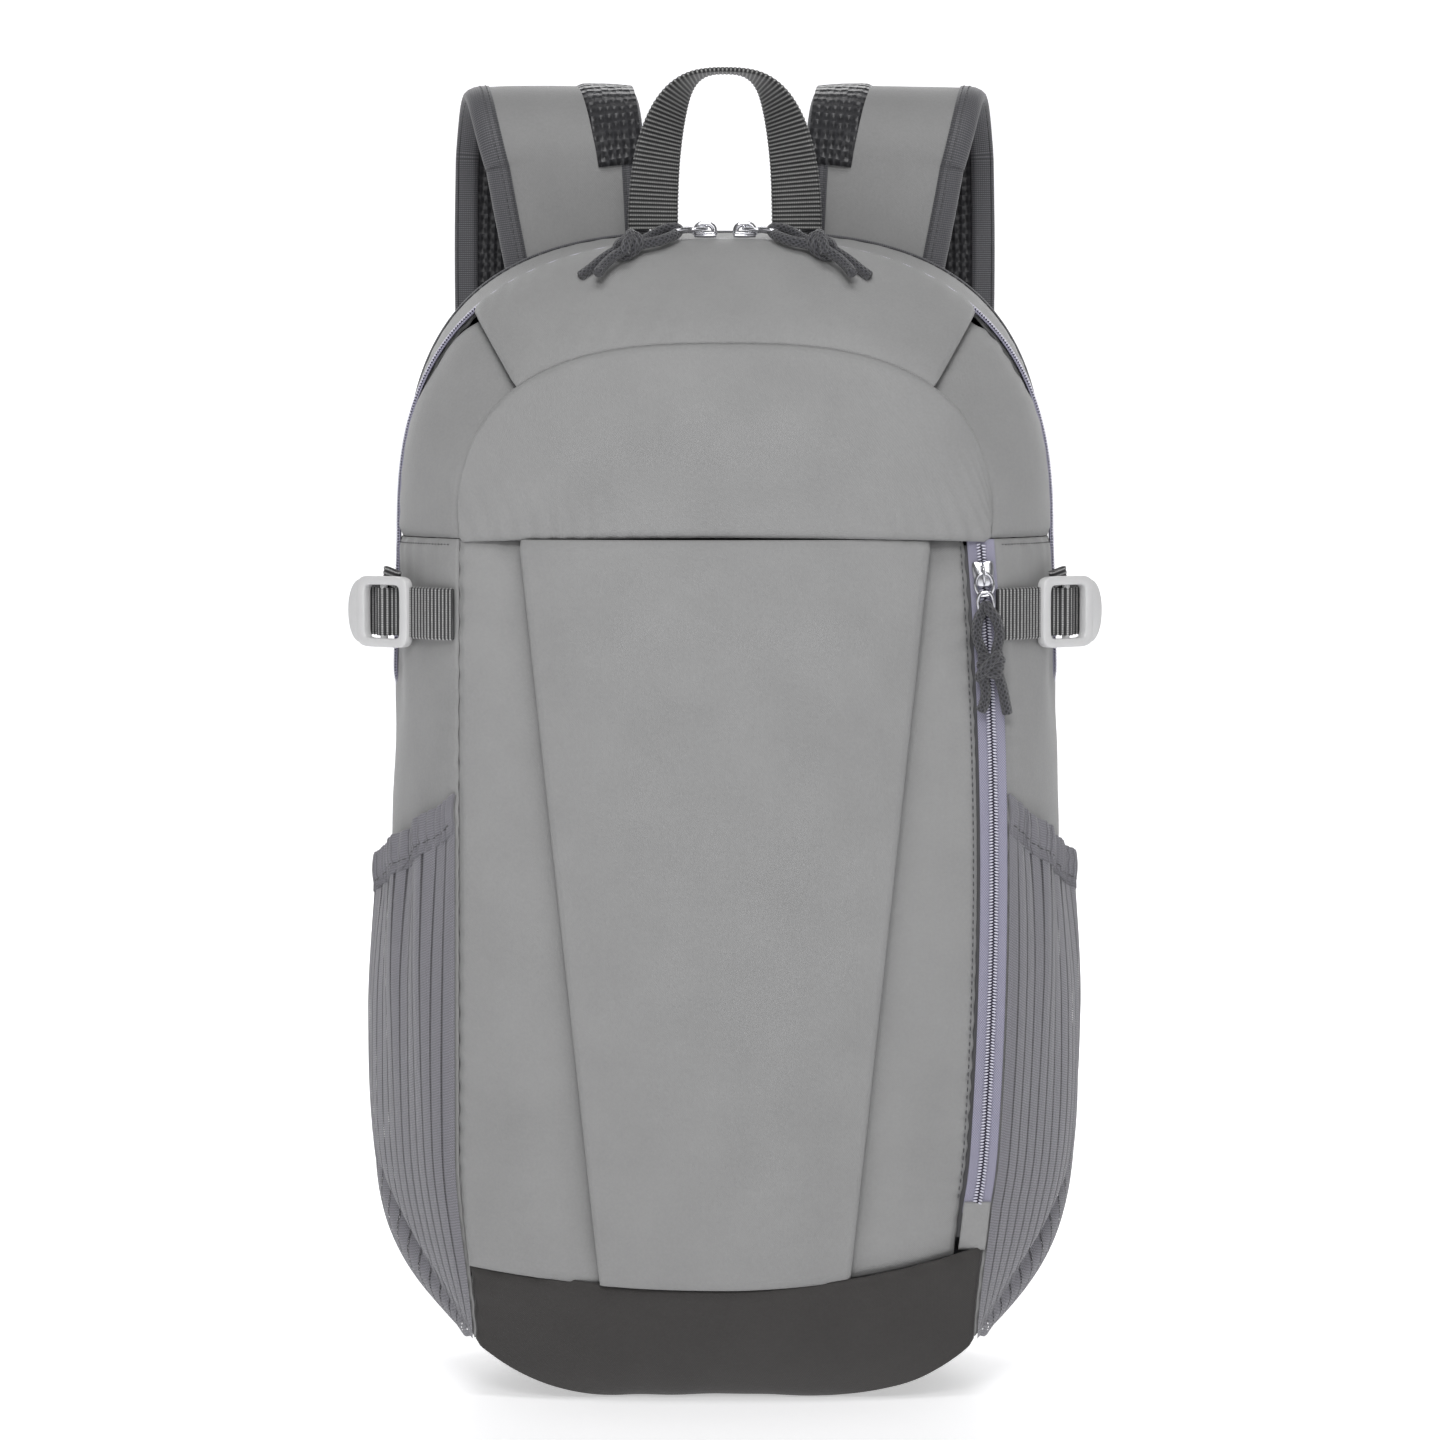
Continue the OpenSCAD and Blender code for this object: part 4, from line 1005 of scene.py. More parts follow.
def webbing_material(name, dark, light, pitch):
    """Ribs with a painted highlight: light colour on their crests, broken up by the warp threads."""
    made, tree, shader = blank_material(name, dark, 0.6)
    shader.inputs["Sheen Weight"].default_value = 0.2
    across, along = cloth_axes(tree)
    crest = arithmetic(tree, "ABSOLUTE", wave_of(tree, along, 2 * pitch / 1000))
    warp = arithmetic(tree, "MULTIPLY_ADD", wave_of(tree, across, 0.0009), 0.3)
    warp.node.inputs[2].default_value = 0.7
    # Painted highlight: the light colour sits on the rib crests, where light would catch them.
    crest_highlight = arithmetic(tree, "POWER", crest, 5.0)
    grain = arithmetic(tree, "MULTIPLY_ADD", noise_of(tree, 1100, 1), 0.5)
    grain.node.inputs[2].default_value = 0.55
    shade = arithmetic(tree, "MULTIPLY", arithmetic(tree, "MULTIPLY", crest_highlight, warp),
                       grain, clamp=True)
    mottled(tree, shader, dark, light, shade)
    bump_into(tree, shader, arithmetic(tree, "MULTIPLY", warp, 1.0), 0.0002, 0.5)
    return made


def webbing(name, path, across, width, thick, material, pitch=1.7, rib=0.35, step=0.28):
    """A webbing along a path; across gives the direction of its width at each point."""
    path = np.asarray(path, float)
    both, length = resampled(np.concatenate([path, np.broadcast_to(across, path.shape)], 1), step)
    path, wide = both[:, :3], both[:, 3:]
    run = np.gradient(path, axis=0)
    run /= np.linalg.norm(run, axis=1)[:, None]
    wide = wide - run * np.sum(wide * run, -1)[:, None]
    wide /= np.linalg.norm(wide, axis=1)[:, None]
    out = np.cross(wide, run)
    half, low = width / 2, thick / 2 - rib * 0.6
    edge = [math.radians(g) for g in (-90, -45, 0, 45, 90)]
    ring = [(half - low + low * math.cos(g), low * math.sin(g)) for g in edge]
    ring += [(f * (half - low), low) for f in (0.6, 0.2, -0.2, -0.6)]
    ring += [(-(half - low) - low * math.cos(g), -low * math.sin(g)) for g in edge]
    ring += [(f * (half - low), -low) for f in (-0.6, -0.2, 0.2, 0.6)]
    ring = np.array(ring)
    grid = path[:, None] + wide[:, None] * ring[None, :, :1] + out[:, None] * ring[None, :, 1:]
    rows, columns = grid.shape[:2]
    faces = [tuple(f) for f in grid_faces(rows, columns, True)]
    last = (rows - 1) * columns
    faces += [tuple(range(columns)), tuple(last + k for k in reversed(range(columns)))]
    length_at = np.broadcast_to(np.linspace(0, length, rows)[:, None], (rows, columns))
    uv = np.stack([np.broadcast_to(ring[:, 0], (rows, columns)), length_at],
                  -1).reshape(-1, 2) / 1000
    strip = put(name, grid.reshape(-1, 3), faces, material, uv)
    strip.data.attributes.new("run", "FLOAT",
                              "POINT").data.foreach_set("value", (length_at / 1000).ravel())
    strip.data.update()
    if signed_volume(strip) < 0:
        strip.data.flip_normals()
    return grown(strip, ribs, Rib_Pitch=pitch / 1000, Rib_Height=rib / 1000, Material=material)


def signed_volume(thing):
    """Negative if a closed mesh's faces point inwards."""
    mesh = thing.data
    mesh.calc_loop_triangles()
    points = np.empty(len(mesh.vertices) * 3)
    mesh.vertices.foreach_get("co", points)
    points = points.reshape(-1, 3)
    tri = np.empty(len(mesh.loop_triangles) * 3, dtype=np.int32)
    mesh.loop_triangles.foreach_get("vertices", tri)
    a, b, c = points[tri.reshape(-1, 3)].transpose(1, 0, 2)
    return float(np.sum(a * np.cross(b, c)))


side_web = webbing_material("side_webbing", srgb(26, 26, 28), srgb(214, 214, 214), 2.0)
handle_web = webbing_material("handle_webbing", srgb(14, 14, 16), srgb(176, 176, 174), 1.7)
compression_z = 310.0
buckle_from = np.array([front_half + 20.5, float(seam_y(compression_z)) + 19, compression_z])
buckle_way = np.array([math.sqrt(0.5), math.sqrt(0.5), 0])
buckle_len, lock_bar_r, run_gap, web_w = 25.0, 1.7, 0.5, 20.0
for hand, mirror in (("right", 1), ("left", -1)):
    flip = np.array([mirror, 1, 1])
    start = np.array([front_half + 1.0, float(seam_y(compression_z)) - 1.2, compression_z])
    end = buckle_from - buckle_way * (lock_bar_r + run_gap)
    ahead = webbing(f"compression_strap_{hand}_webbing",
                    np.array([start, lerp(start, end, 0.5) + (0.6, -0.8, 0), end]) * flip,
                    (0, 0, 1), web_w, 1.6, side_web, 2.0)
    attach(ahead, "pack")
    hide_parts(f"compression_strap_{hand}")
    start = buckle_from + buckle_way * (buckle_len + lock_bar_r + run_gap)
    end = np.array([arch_half + 2.5, rim_y - 2, compression_z])
    t = np.linspace(0, 1, 12)
    tail_path = np.stack([lerp(start[0], end[0], t**0.6),
                          lerp(start[1], end[1], t), 0 * t + compression_z], -1)
    behind = webbing(f"compression_tail_{hand}_webbing",
                     tail_path * flip, (0, 0, 1), web_w, 1.6, side_web, 2.0)
    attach(behind, "pack")
    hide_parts(f"compression_tail_{hand}")

# ---- Grab handle ---------------------------------------------------------------------------
# One length of heavy webbing, sewn flat into the back seam and turning edge-on at its top.

handle_span, handle_rise, web_t = 59.0, corners("grab_handle")[1][2] - body_top - 1.2, 1.6
a = np.linspace(0, np.pi, 240)
handle_path = np.stack([handle_span / 2 * np.sign(np.cos(a)) * np.abs(np.cos(a)) ** 0.72,
                        np.full_like(a, rim_y - 4),
                        body_top + 1 + (handle_rise - web_t / 2) * np.sin(a) ** 0.86], -1)
handle = webbing("grab_handle_webbing", handle_path, np.stack([np.cos(a), -np.sin(a), 0 * a], -1),
                 web_w, web_t + 0.3,
                 handle_web, 1.7, 0.4)
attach(handle, "grab_handle")
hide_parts("grab_handle")

# ---- Buckles -------------------------------------------------------------------------------
# Moulded acetal ladder locks. The side ones are pale, with a round thumb tab that is lifted
# to slacken the strap; the ones under the shoulder straps are dark.


def moulded(name, light, dark, rough):
    """Moulded plastic: an even colour with a faint flow pattern and a fine satin grain."""
    made, tree, shader = blank_material(name, light, rough, 0.5)
    mottled(tree, shader, dark, light, noise_of(tree, 120, 3))
    bump_into(tree, shader, noise_of(tree, 2500, 2), 0.00006, 0.5)
    return made


pale_plastic = moulded("pale_acetal", srgb(214, 214, 214), srgb(200, 200, 201), 0.34)
dark_plastic = moulded("dark_acetal", srgb(44, 44, 46), srgb(34, 34, 36), 0.38)


def placed(points, origin, x_way, y_way, z_way):
    """Local points laid out along three directions from an origin."""
    return np.asarray(origin) + np.asarray(points, float) @ np.array([x_way, y_way, z_way], float)


def tube(path, radius, sides=12, closed=False, flat=1.0, up=(0, 0, 1)):
    """A round wire or cord along a path: its points, faces, and each point's place on its skin."""
    path = np.asarray(path, float)
    count = len(path)
    run = np.roll(path, -1, 0) - np.roll(path, 1, 0) if closed else np.gradient(path, axis=0)
    run /= np.linalg.norm(run, axis=1)[:, None]
    side = np.cross(run[0], up)
    if np.linalg.norm(side) < 1e-3:
        side = np.cross(run[0], (0.1, 1, 0))
    frames = []
    for k in range(count):
        side = side - run[k] * np.dot(side, run[k])
        side /= np.linalg.norm(side)
        frames.append((side, np.cross(side, run[k])))
    twist = 0.0
    if closed:
        side = side - run[0] * np.dot(side, run[0])
        side /= np.linalg.norm(side)
        twist = math.atan2(np.dot(side, frames[0][1]), np.dot(side, frames[0][0]))
    radius = np.broadcast_to(radius, count)
    angle = np.linspace(0, 2 * np.pi, sides, endpoint=False)
    rings = []
    for k, (a, b) in enumerate(frames):
        g = angle - twist * k / count
        rings.append(path[k] + radius[k] * (np.cos(g)[:, None] * a + flat * np.sin(g)[:, None] * b))
    points = np.concatenate(rings)
    faces = [tuple(f) for f in grid_faces(count, sides, True)]
    if closed:
        last = (count - 1) * sides
        faces += [(last + k, last + (k + 1) % sides, (k + 1) % sides, k) for k in range(sides)]
    else:
        last = (count - 1) * sides
        faces += [tuple(range(sides)), tuple(last + k for k in reversed(range(sides)))]
    along = np.concatenate([[0], np.cumsum(np.linalg.norm(np.diff(path, axis=0), axis=1))])
    uv = np.stack([np.tile(angle / (2 * np.pi), count) * 2 * np.pi * float(np.mean(radius)),
                   np.repeat(along, sides)], -1)
    return points, faces, uv / 1000


def joined(parts):
    """Several (points, faces, uv) as one."""
    points, faces, uvs, start = [], [], [], 0
    for p, f, u in parts:
        points.append(p)
        uvs.append(u)
        faces += [tuple(int(k) + start for k in face) for face in f]
        start += len(p)
    return np.concatenate(points), faces, np.concatenate(uvs)


def outline_plate(outline, low, high, bevel=0.5, holes=()):
    """A flat plate with rounded edges, from a closed outline and one hole, as rings of points."""
    outline = np.asarray(outline, float)
    centre = outline.mean(0)
    rings = []
    for inset, z in ((bevel, low), (0.3 * bevel, low + 0.3 * bevel),
                     (0, low + bevel), (0, high - bevel),
                     (0.3 * bevel, high - 0.3 * bevel), (bevel, high)):
        way = centre - outline
        way /= np.linalg.norm(way, axis=1)[:, None]
        rings.append(np.concatenate([outline + way * inset, np.full((len(outline), 1), z)], 1))
    if holes:
        hole = np.asarray(holes[0], float)
        for inset, z in ((-bevel, high), (-0.3 * bevel, high - 0.3 * bevel),
                         (0, high - bevel), (0, low + bevel),
                         (-0.3 * bevel, low + 0.3 * bevel), (-bevel, low)):
            way = hole - centre
            way /= np.linalg.norm(way, axis=1)[:, None]
            rings.append(np.concatenate([hole - way * inset, np.full((len(hole), 1), z)], 1))
    grid = np.stack(rings)
    rows, columns = grid.shape[:2]
    faces = [tuple(f) for f in grid_faces(rows, columns, True)]
    last = (rows - 1) * columns
    if holes:
        faces += [(last + k, last + (k + 1) % columns, (k + 1) % columns,
                   k) for k in range(columns)]
    else:
        faces += [tuple(reversed(range(columns))), tuple(last + k for k in range(columns))]
    return grid.reshape(-1, 3), faces, grid.reshape(-1, 3)[:, :2] / 1000


def squircle(middle, half_x, half_y, shape=5.0, count=72):
    angle = np.linspace(0, 2 * np.pi, count, endpoint=False)
    x = np.sign(np.cos(angle)) * np.abs(np.cos(angle)) ** (2 / shape)
    y = np.sign(np.sin(angle)) * np.abs(np.sin(angle)) ** (2 / shape)
    return np.stack([middle[0] + half_x * x, middle[1] + half_y * y], -1)


def solid(name, parts, material, smooth=True):
    points, faces, uv = joined(parts)
    thing = put(name, points, faces, material, uv, smooth)
    mesh = bmesh.new()
    mesh.from_mesh(thing.data)
    bmesh.ops.recalc_face_normals(mesh, faces=mesh.faces)
    mesh.to_mesh(thing.data)
    mesh.free()
    return thing


def cylinder_bar(x, z, half, radius=1.7):
    return tube([(x, s * half, z) for s in np.linspace(-1, 1, 6)], radius, 14)


def ladder_lock(name, length, tab, frame_of, material):
    """A ladder lock in its own directions: x along the strap, y across and z outwards."""
    half = web_w / 2 + 4.2
    parts = [outline_plate(squircle((length / 2, 0), length / 2 + 2.4, half, 7), -1.5, 2.6, 0.7,
                           [squircle((length / 2, 0), length / 2 - 2.0, web_w / 2 + 0.7, 9)])]
    parts += [cylinder_bar(length * 0.55, -0.2, web_w / 2 + 2, 1.5)]
    if tab:
        arc = np.radians(np.linspace(-90, 90, 30))
        edge = np.stack([length + 0.8 + 7.2 * np.cos(arc), (half - 1.5) * np.sin(arc)], -1)
        parts.append(outline_plate(np.concatenate([edge, [(length - 0.5, half - 2.5),
                                                          (length - 0.5, 0),
                                                          (length - 0.5, 2.5 - half)]]),
                                   0.4, 2.4, 0.6))
    parts = [(placed(p, *frame_of), f, u) for p, f, u in parts]
    return solid(name, parts, material)


for hand, mirror in (("right", 1), ("left", -1)):
    flip = np.array([mirror, 1, 1])
    along = buckle_way * flip
    outward = np.array([buckle_way[1], -buckle_way[0], 0]) * flip
    lock = ladder_lock(f"side_buckle_{hand}_lock", buckle_len,
                       True, (buckle_from * flip, along, (0, 0, 1), outward), pale_plastic)
    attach(lock, f"side_buckle_{hand}")
    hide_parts(f"side_buckle_{hand}")
    # The webbing goes round the lock's bars, and its folded end stands up behind the frame.
    wrap = np.array([(-1.0, 0.6), (1.5, -2.2), (6, -2.6),
                     (10.5, -1.8), (12.2, 0.9), (13.8, 1.9), (16.2, 1.2), (18, -1.4), (21, -2.6),
                     (24.5, -2.8)])
    wrap_path = [placed((x, 0, z), buckle_from * flip, along, (0, 0, 1), outward) for x, z in wrap]
    threaded = webbing(f"side_buckle_{hand}_webbing", wrap_path,
                       (0, 0, 1), web_w - 0.6, 1.3, side_web, 2.0)
    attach(threaded, f"side_buckle_{hand}")
    stub = np.array([(15, -3.4, 2), (14, -3.6, 8), (12.6, -3.4, 13), (11.6, -3.0, 17)])
    stub_path = [placed((x, z, out), buckle_from * flip, along, (0, 0, 1), outward) for x,
                 out, z in stub]
    folded = webbing(f"side_buckle_{hand}_folded_end", stub_path,
                     along * 1.0, 9.0, 2.4, side_web, 2.0)
    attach(folded, f"side_buckle_{hand}")

# ---- Zip pulls -----------------------------------------------------------------------------
# Die-cast sliders with a wire ring and link, and a length of braided cord looped through
# the link and tied in a thumb knot. Cut cord ends are melted.

chrome, chrome_tree, chrome_shader = blank_material("bright_metal", srgb(206, 206, 210), 0.16)
chrome_shader.inputs["Metallic"].default_value = 1.0
mottled(chrome_tree, chrome_shader, srgb(178, 178, 184),
        srgb(226, 226, 230), noise_of(chrome_tree, 500, 2))
bump_into(chrome_tree, chrome_shader, noise_of(chrome_tree, 1500, 2), 0.00004, 0.5)

braid, braid_tree, braid_shader = blank_material("braided_cord", srgb(62, 62, 66), 0.6)
braid_shader.inputs["Sheen Weight"].default_value = 0.25
braid_round, braid_along = cloth_axes(braid_tree)
one_way = arithmetic(braid_tree, "ADD", arithmetic(braid_tree, "MULTIPLY", braid_along, 1.0),
                     arithmetic(braid_tree, "MULTIPLY", braid_round, 1.25))
other_way = arithmetic(braid_tree, "SUBTRACT", braid_along,
                       arithmetic(braid_tree, "MULTIPLY", braid_round, 1.25))
plait = arithmetic(braid_tree, "MAXIMUM", wave_of(braid_tree, one_way, 0.0023),
                   wave_of(braid_tree, other_way, 0.0023))
yarn = arithmetic(braid_tree, "MULTIPLY_ADD", wave_of(braid_tree, braid_round, 0.0006), 0.22)
yarn.node.inputs[2].default_value = 0.4
plait_shade = arithmetic(braid_tree, "MULTIPLY_ADD", plait, 0.42)
braid_tree.links.new(yarn, plait_shade.node.inputs[2])
mottled(braid_tree, braid_shader, srgb(12, 12, 14), srgb(84, 84, 90),
        arithmetic(braid_tree, "POWER", plait_shade, 1.4, clamp=True))
bump_into(braid_tree, braid_shader, plait_shade, 0.0006, 0.9)

slider_base, plate_t, bar_h, puller_d = 1.7, 1.1, 4.1, 4.5
cord_r = puller_d / 2 - 0.15
slider_x, pull_tilt, pull_yaw = 8.0, math.radians(2), math.radians(32)


def smooth_path(points, count, closed=False):
    """A Catmull-Rom curve through points."""
    p = np.asarray(points, float)
    p = np.concatenate([p[-1:], p,
                        p[:2]]) if closed else np.concatenate(
                            [2 * p[:1] - p[1:2], p, 2 * p[-1:] - p[-2:-1]])
    spans = len(p) - 3
    t = np.linspace(0, spans, count, endpoint=not closed)
    k = np.minimum(t.astype(int), spans - 1)
    f = (t - k)[:, None]
    a, b, c, d = p[k], p[k + 1], p[k + 2], p[k + 3]
    return 0.5 * (2 * b + (c - a) * f + (2 * a - 5 * b + 4 * c - d)
                  * f**2 + (3 * b - a - 3 * c + d) * f**3)


def slider_parts():
    """The slider: a shield-shaped plate with turned-down rails and a bridge over it."""
    shield = np.array([(-4.9, 2.2), (-4.6, 3.6), (-2.5, 4.0),
                       (1.5, 3.6), (4.0, 2.9), (5.0, 1.8), (5.1, 0), (5.0, -1.8),
                       (4.0, -2.9), (1.5, -3.6), (-2.5, -4.0),
                       (-4.6, -3.6), (-4.9, -2.2), (-4.4, 0)])
    shield = smooth_path(shield, 56, True)
    parts = [outline_plate(shield, slider_base, slider_base + plate_t, 0.35)]
    for s in (-1, 1):
        rail = [(-4.5, s * 3.5, 1.4), (-2, s * 3.7, 1.3), (1.5, s * 3.3, 1.3), (4.2, s * 2.5, 1.4)]
        parts.append(tube(smooth_path(rail, 14), 0.62, 8))
    bridge = [(-3.7, 0, slider_base + 0.7), (-3.5, 0, 4.3),
              (-2.2, 0, 5.7), (0, 0, 6.05), (2.2, 0, 5.7), (3.5, 0, 4.3),
              (3.7, 0, slider_base + 0.7)]
    parts.append(tube(smooth_path(bridge, 24), 1.15, 12, flat=0.5, up=(0, 1, 0.001)))
    return parts


def link_parts():
    """The ring through the slider's bridge and the wire link that hangs on it."""
    g = np.linspace(0, 2 * np.pi, 44, endpoint=False)
    ring = np.stack([4.4 - 4.4 * np.cos(g), 3.5 * np.sign(np.sin(g)) * np.abs(np.sin(g)) ** 0.85,
                     0 * g + 0.15 * np.cos(g)], -1)
    link = np.stack([11.4 - 4.0 * np.sign(np.cos(g)) * np.abs(np.cos(g)) ** 0.8,
                     3.0 * np.sign(np.sin(g)) * np.abs(np.sin(g)) ** 0.7,
                     0.4 * np.cos(g)], -1)
    return [tube(ring, 0.72, 12, True), tube(link, 0.8, 12, True)]


def cord_parts(hangs):
    """The loop through the link, the knot's wraps and the two tails."""

    def fall(path):
        path = np.array(path, float)
        if hangs:
            path[:, 2] -= 9 * (np.maximum(0, path[:, 0] - 8) / 28) ** 1.3
        return path

    loop = smooth_path([(37, 2.2, 2.6), (31, 2.6, 2.2),
                        (24.5, 4.5, 1.5), (18.5, 3.6, 2.3), (14.6, 1.4, 2.2), (12.6, 0, 0.9),
                        (14.6, -1.4, -0.4), (18.5, -3.6, -0.3),
                        (24.5, -4.5, 0.2), (31, -2.6, 1.4), (37, -2.2, 2.4)], 130)
    turn = np.linspace(0, 2 * np.pi * 2.3, 110)
    lean = 0.42
    wx = 36 + np.linspace(-2.9, 3.1, 110)
    wy, wz = 3.3 * np.cos(turn), 3.0 * np.sin(turn)
    wraps = np.stack([wx + lean * wy, wy - 0.25 * (wx - 36), wz + 2.9], -1)
    crossing = smooth_path([(31.8, 3.4, 3.0), (33.5, 1.6, 6.4),
                            (36.5, -1.8, 7.4), (39.6, -4.2, 4.8), (40.6, -4.6, 1.6)], 40)
    parts = [tube(fall(loop), cord_r, 16), tube(fall(wraps), cord_r, 16),
             tube(fall(crossing), cord_r, 16)]
    for s, reach in ((1, 56.0), (-1, 54.0)):
        tail = smooth_path([(36, s * 1.5, 3.0), (41, s * 3.0, 3.0), (46.5, s * 3.4 + 0.8, 2.2),
                            (51.5, s * 4.3 + 0.5, 1.0), (reach, s * 5.4, 0.4)], 60)
        thick = np.full(60, cord_r)
        thick[-5:] *= (1.0, 1.02, 0.98, 0.85, 0.45)
        parts.append(tube(fall(tail), thick, 16))
    return parts


def zip_pull(name, slider_node, link_node, cord_node, slider_body,
             pull_body, slider_frame, pull_frame, hangs):
    made = solid(f"{name}_slider_casting",
                 [(placed(p, *slider_frame), f, u) for p, f, u in slider_parts()], chrome)
    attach(made, slider_body)
    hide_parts(slider_node)
    made = solid(f"{name}_ring_and_link",
                 [(placed(p, *pull_frame), f, u) for p, f, u in link_parts()], chrome)
    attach(made, pull_body)
    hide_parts(link_node)
    made = solid(f"{name}_knotted_cord",
                 [(placed(p, *pull_frame), f, u) for p, f, u in cord_parts(hangs)], braid)
    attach(made, pull_body)
    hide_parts(cord_node)


zip_rise = body_top - zip_drop - yoke_z
slider_top = yoke_z + zip_rise * float(dome(slider_x / (arch_half - 1), zip_shape)) + web_lift + 0.5
for hand, mirror in (("right", 1), ("left", -1)):
    flip = np.array([mirror, 1, 1])
    home = np.array([slider_x, zip_y, slider_top]) * flip
    tilted = np.array([math.cos(pull_tilt), 0, -math.sin(pull_tilt)])
    yawed = np.array([[math.cos(pull_yaw), -math.sin(pull_yaw), 0],
                      [math.sin(pull_yaw), math.cos(pull_yaw), 0], [0, 0, 1]])
    x_way = (tilted[0] * yawed[0] + tilted[2] * yawed[2]) * flip
    y_way = yawed[1] * flip
    z_way = (math.sin(pull_tilt) * yawed[0] + math.cos(pull_tilt) * yawed[2]) * flip
    zip_pull(f"main_{hand}", f"main_slider_{hand}", f"main_link_{hand}",
             f"main_cord_{hand}", f"main_slider_{hand}",
             f"main_pull_{hand}", (home, np.array([1.0, 0, 0]) * flip, (0, 1, 0), (0, 0, 1)),
             (home + (0, 0, bar_h), x_way, y_way, z_way), True)

slider_z = 326.0
lane_turn = math.asin((slider_z - lane_mid) / lane_r)
lane_tilt = math.atan(front_lean / (yoke_z - boot_turn))
lean_matrix = Matrix.Rotation(-lane_tilt, 3, "X") @ Matrix.Rotation(-lane_turn, 3, "Y")
x_way, y_way, z_way = (np.array(lean_matrix @ Vector(v)) for v in (
    (0, 0, -1), (1, 0, 0), (0, -1, 0)))
home = lane_points(np.array(slider_z), lane_w / 2)
zip_pull("pocket", "pocket_slider", "pocket_link", "pocket_cord", "pocket_slider", "pocket_pull",
         (home, x_way, y_way, z_way), (home + bar_h * z_way, x_way, y_way, z_way), False)

# ---- Shoulder straps -----------------------------------------------------------------------
# Foam pads lined with spacer mesh on the wearer's side, covered with the shell's cloth
# outside, and bound along both edges with ribbed tape stitched through in two rows.

spacer, spacer_tree, spacer_shader = blank_material("spacer_mesh", srgb(40, 40, 43), 0.4)
spacer_across, spacer_along = cloth_axes(spacer_tree)
cells = texture_node(spacer_tree, "ShaderNodeTexVoronoi", Scale=1.0)
cell_place = spacer_tree.nodes.new("ShaderNodeCombineXYZ")
spacer_tree.links.new(arithmetic(spacer_tree, "MULTIPLY", spacer_across, 330.0),
                      cell_place.inputs[0])
spacer_tree.links.new(arithmetic(spacer_tree, "MULTIPLY", spacer_along, 250.0),
                      cell_place.inputs[1])
spacer_tree.links.new(cell_place.outputs[0], cells.inputs["Vector"])
cells.inputs["Randomness"].default_value = 0.25
pebble = arithmetic(spacer_tree, "MULTIPLY_ADD", cells.outputs["Distance"], 1.6)
# Painted glints: cubed noise adds small lighter flecks to the mesh's colour, standing in for its small
# highlights.
painted_glints = arithmetic(spacer_tree, "POWER", noise_of(spacer_tree, 900, 2), 3.0)
spacer_shade = arithmetic(spacer_tree, "ADD", arithmetic(spacer_tree, "MULTIPLY", pebble, 0.55),
                          painted_glints, clamp=True)
mottled(spacer_tree, spacer_shader, srgb(8, 8, 9), srgb(50, 50, 53), spacer_shade)
bump_into(spacer_tree, spacer_shader, pebble, 0.0011, 1.0)

strap_cloth = woven("strap_cloth", srgb(126, 126, 126), srgb(147, 147, 147))
binding_tape = webbing_material("binding_tape", srgb(62, 62, 66), srgb(120, 120, 124), 0.9)

strap_t, cover_t, strap_w, strap_r = 7.0, 1.2, 68.0, 25.0
strap_top = corners("strap_cover_left")[1][2]
strap_end_z = corners("strap_pad_left")[0][2]
strap_back = back_y + strap_t / 2 + cover_t + run_gap
root_z = body_top - 35
arch_z = strap_top - strap_r - strap_t / 2 - cover_t
end_y = strap_back + 32


def strap_points(count=400):
    """The middle of the right pad from its root over the arch and down, evenly spaced, with its half width."""
    t = np.linspace(0, 1, 40)
    rise = np.stack([0 * t + strap_back, lerp(root_z, arch_z, t)], -1)
    a = np.radians(np.linspace(0, 180, 80))[1:-1]
    bend = np.stack([strap_back + strap_r * (1 - np.cos(a)), arch_z + strap_r * np.sin(a)], -1)
    fall = np.stack([lerp(strap_back + 2 * strap_r, end_y, t * t * (3 - 2 * t)),
                     lerp(arch_z, strap_end_z, t)], -1)
    yz = np.concatenate([rise, bend, fall])
    # The pad's own measure runs with the number of straight stations of its making: 5, 10 and 12.
    share = np.concatenate([t * 5 / 28, 5 / 28 + np.linspace(0, 1, 80)[1:-1] * 11 / 28,
                            16 / 28 + t * 12 / 28])
    x = lerp(58.0, 80.0, np.sin(np.pi / 2 * np.minimum(1, share * 1.35)))
    wide = np.where(share < 0.35, lerp(0.8, 1, np.sin(np.pi / 2 * share / 0.35)),
                    np.where(share < 0.6, 1, 1 - 0.56 * np.maximum(0, (share - 0.6) / 0.4) ** 1.6))
    both, length = resampled(np.stack([x, yz[:, 0], yz[:, 1], strap_w / 2 * wide], -1), 1.0)
    return both[:, :3], both[:, 3], length


pad_line, pad_half, pad_length = strap_points()
pad_run = np.gradient(pad_line, axis=0)
pad_run /= np.linalg.norm(pad_run, axis=1)[:, None]
pad_side = np.array([1.0, 0, 0]) - pad_run * pad_run[:, :1]
pad_side /= np.linalg.norm(pad_side, axis=1)[:, None]
pad_out = np.cross(pad_side, pad_run)


def on_pad(index, u, height):
    """Points of the pad: u from -1 (inner edge) to 1 (outer), height above its middle."""
    half = pad_half[index][:, None]
    return (pad_line[index][:, None] + pad_side[index][:, None] * (half * u)[..., None]
            + pad_out[index][:, None] * height[..., None])


def ring_solid(name, rings, material, uv):
    """A closed solid through rings of points, all of one count."""
    rows, columns = rings.shape[:2]
    faces = [tuple(f) for f in grid_faces(rows, columns, True)]
    last = (rows - 1) * columns
    faces += [tuple(range(columns)), tuple(last + k for k in reversed(range(columns)))]
    made = put(name, rings.reshape(-1, 3), faces, material, uv.reshape(-1, 2))
    if signed_volume(made) < 0:
        made.data.flip_normals()
    return made


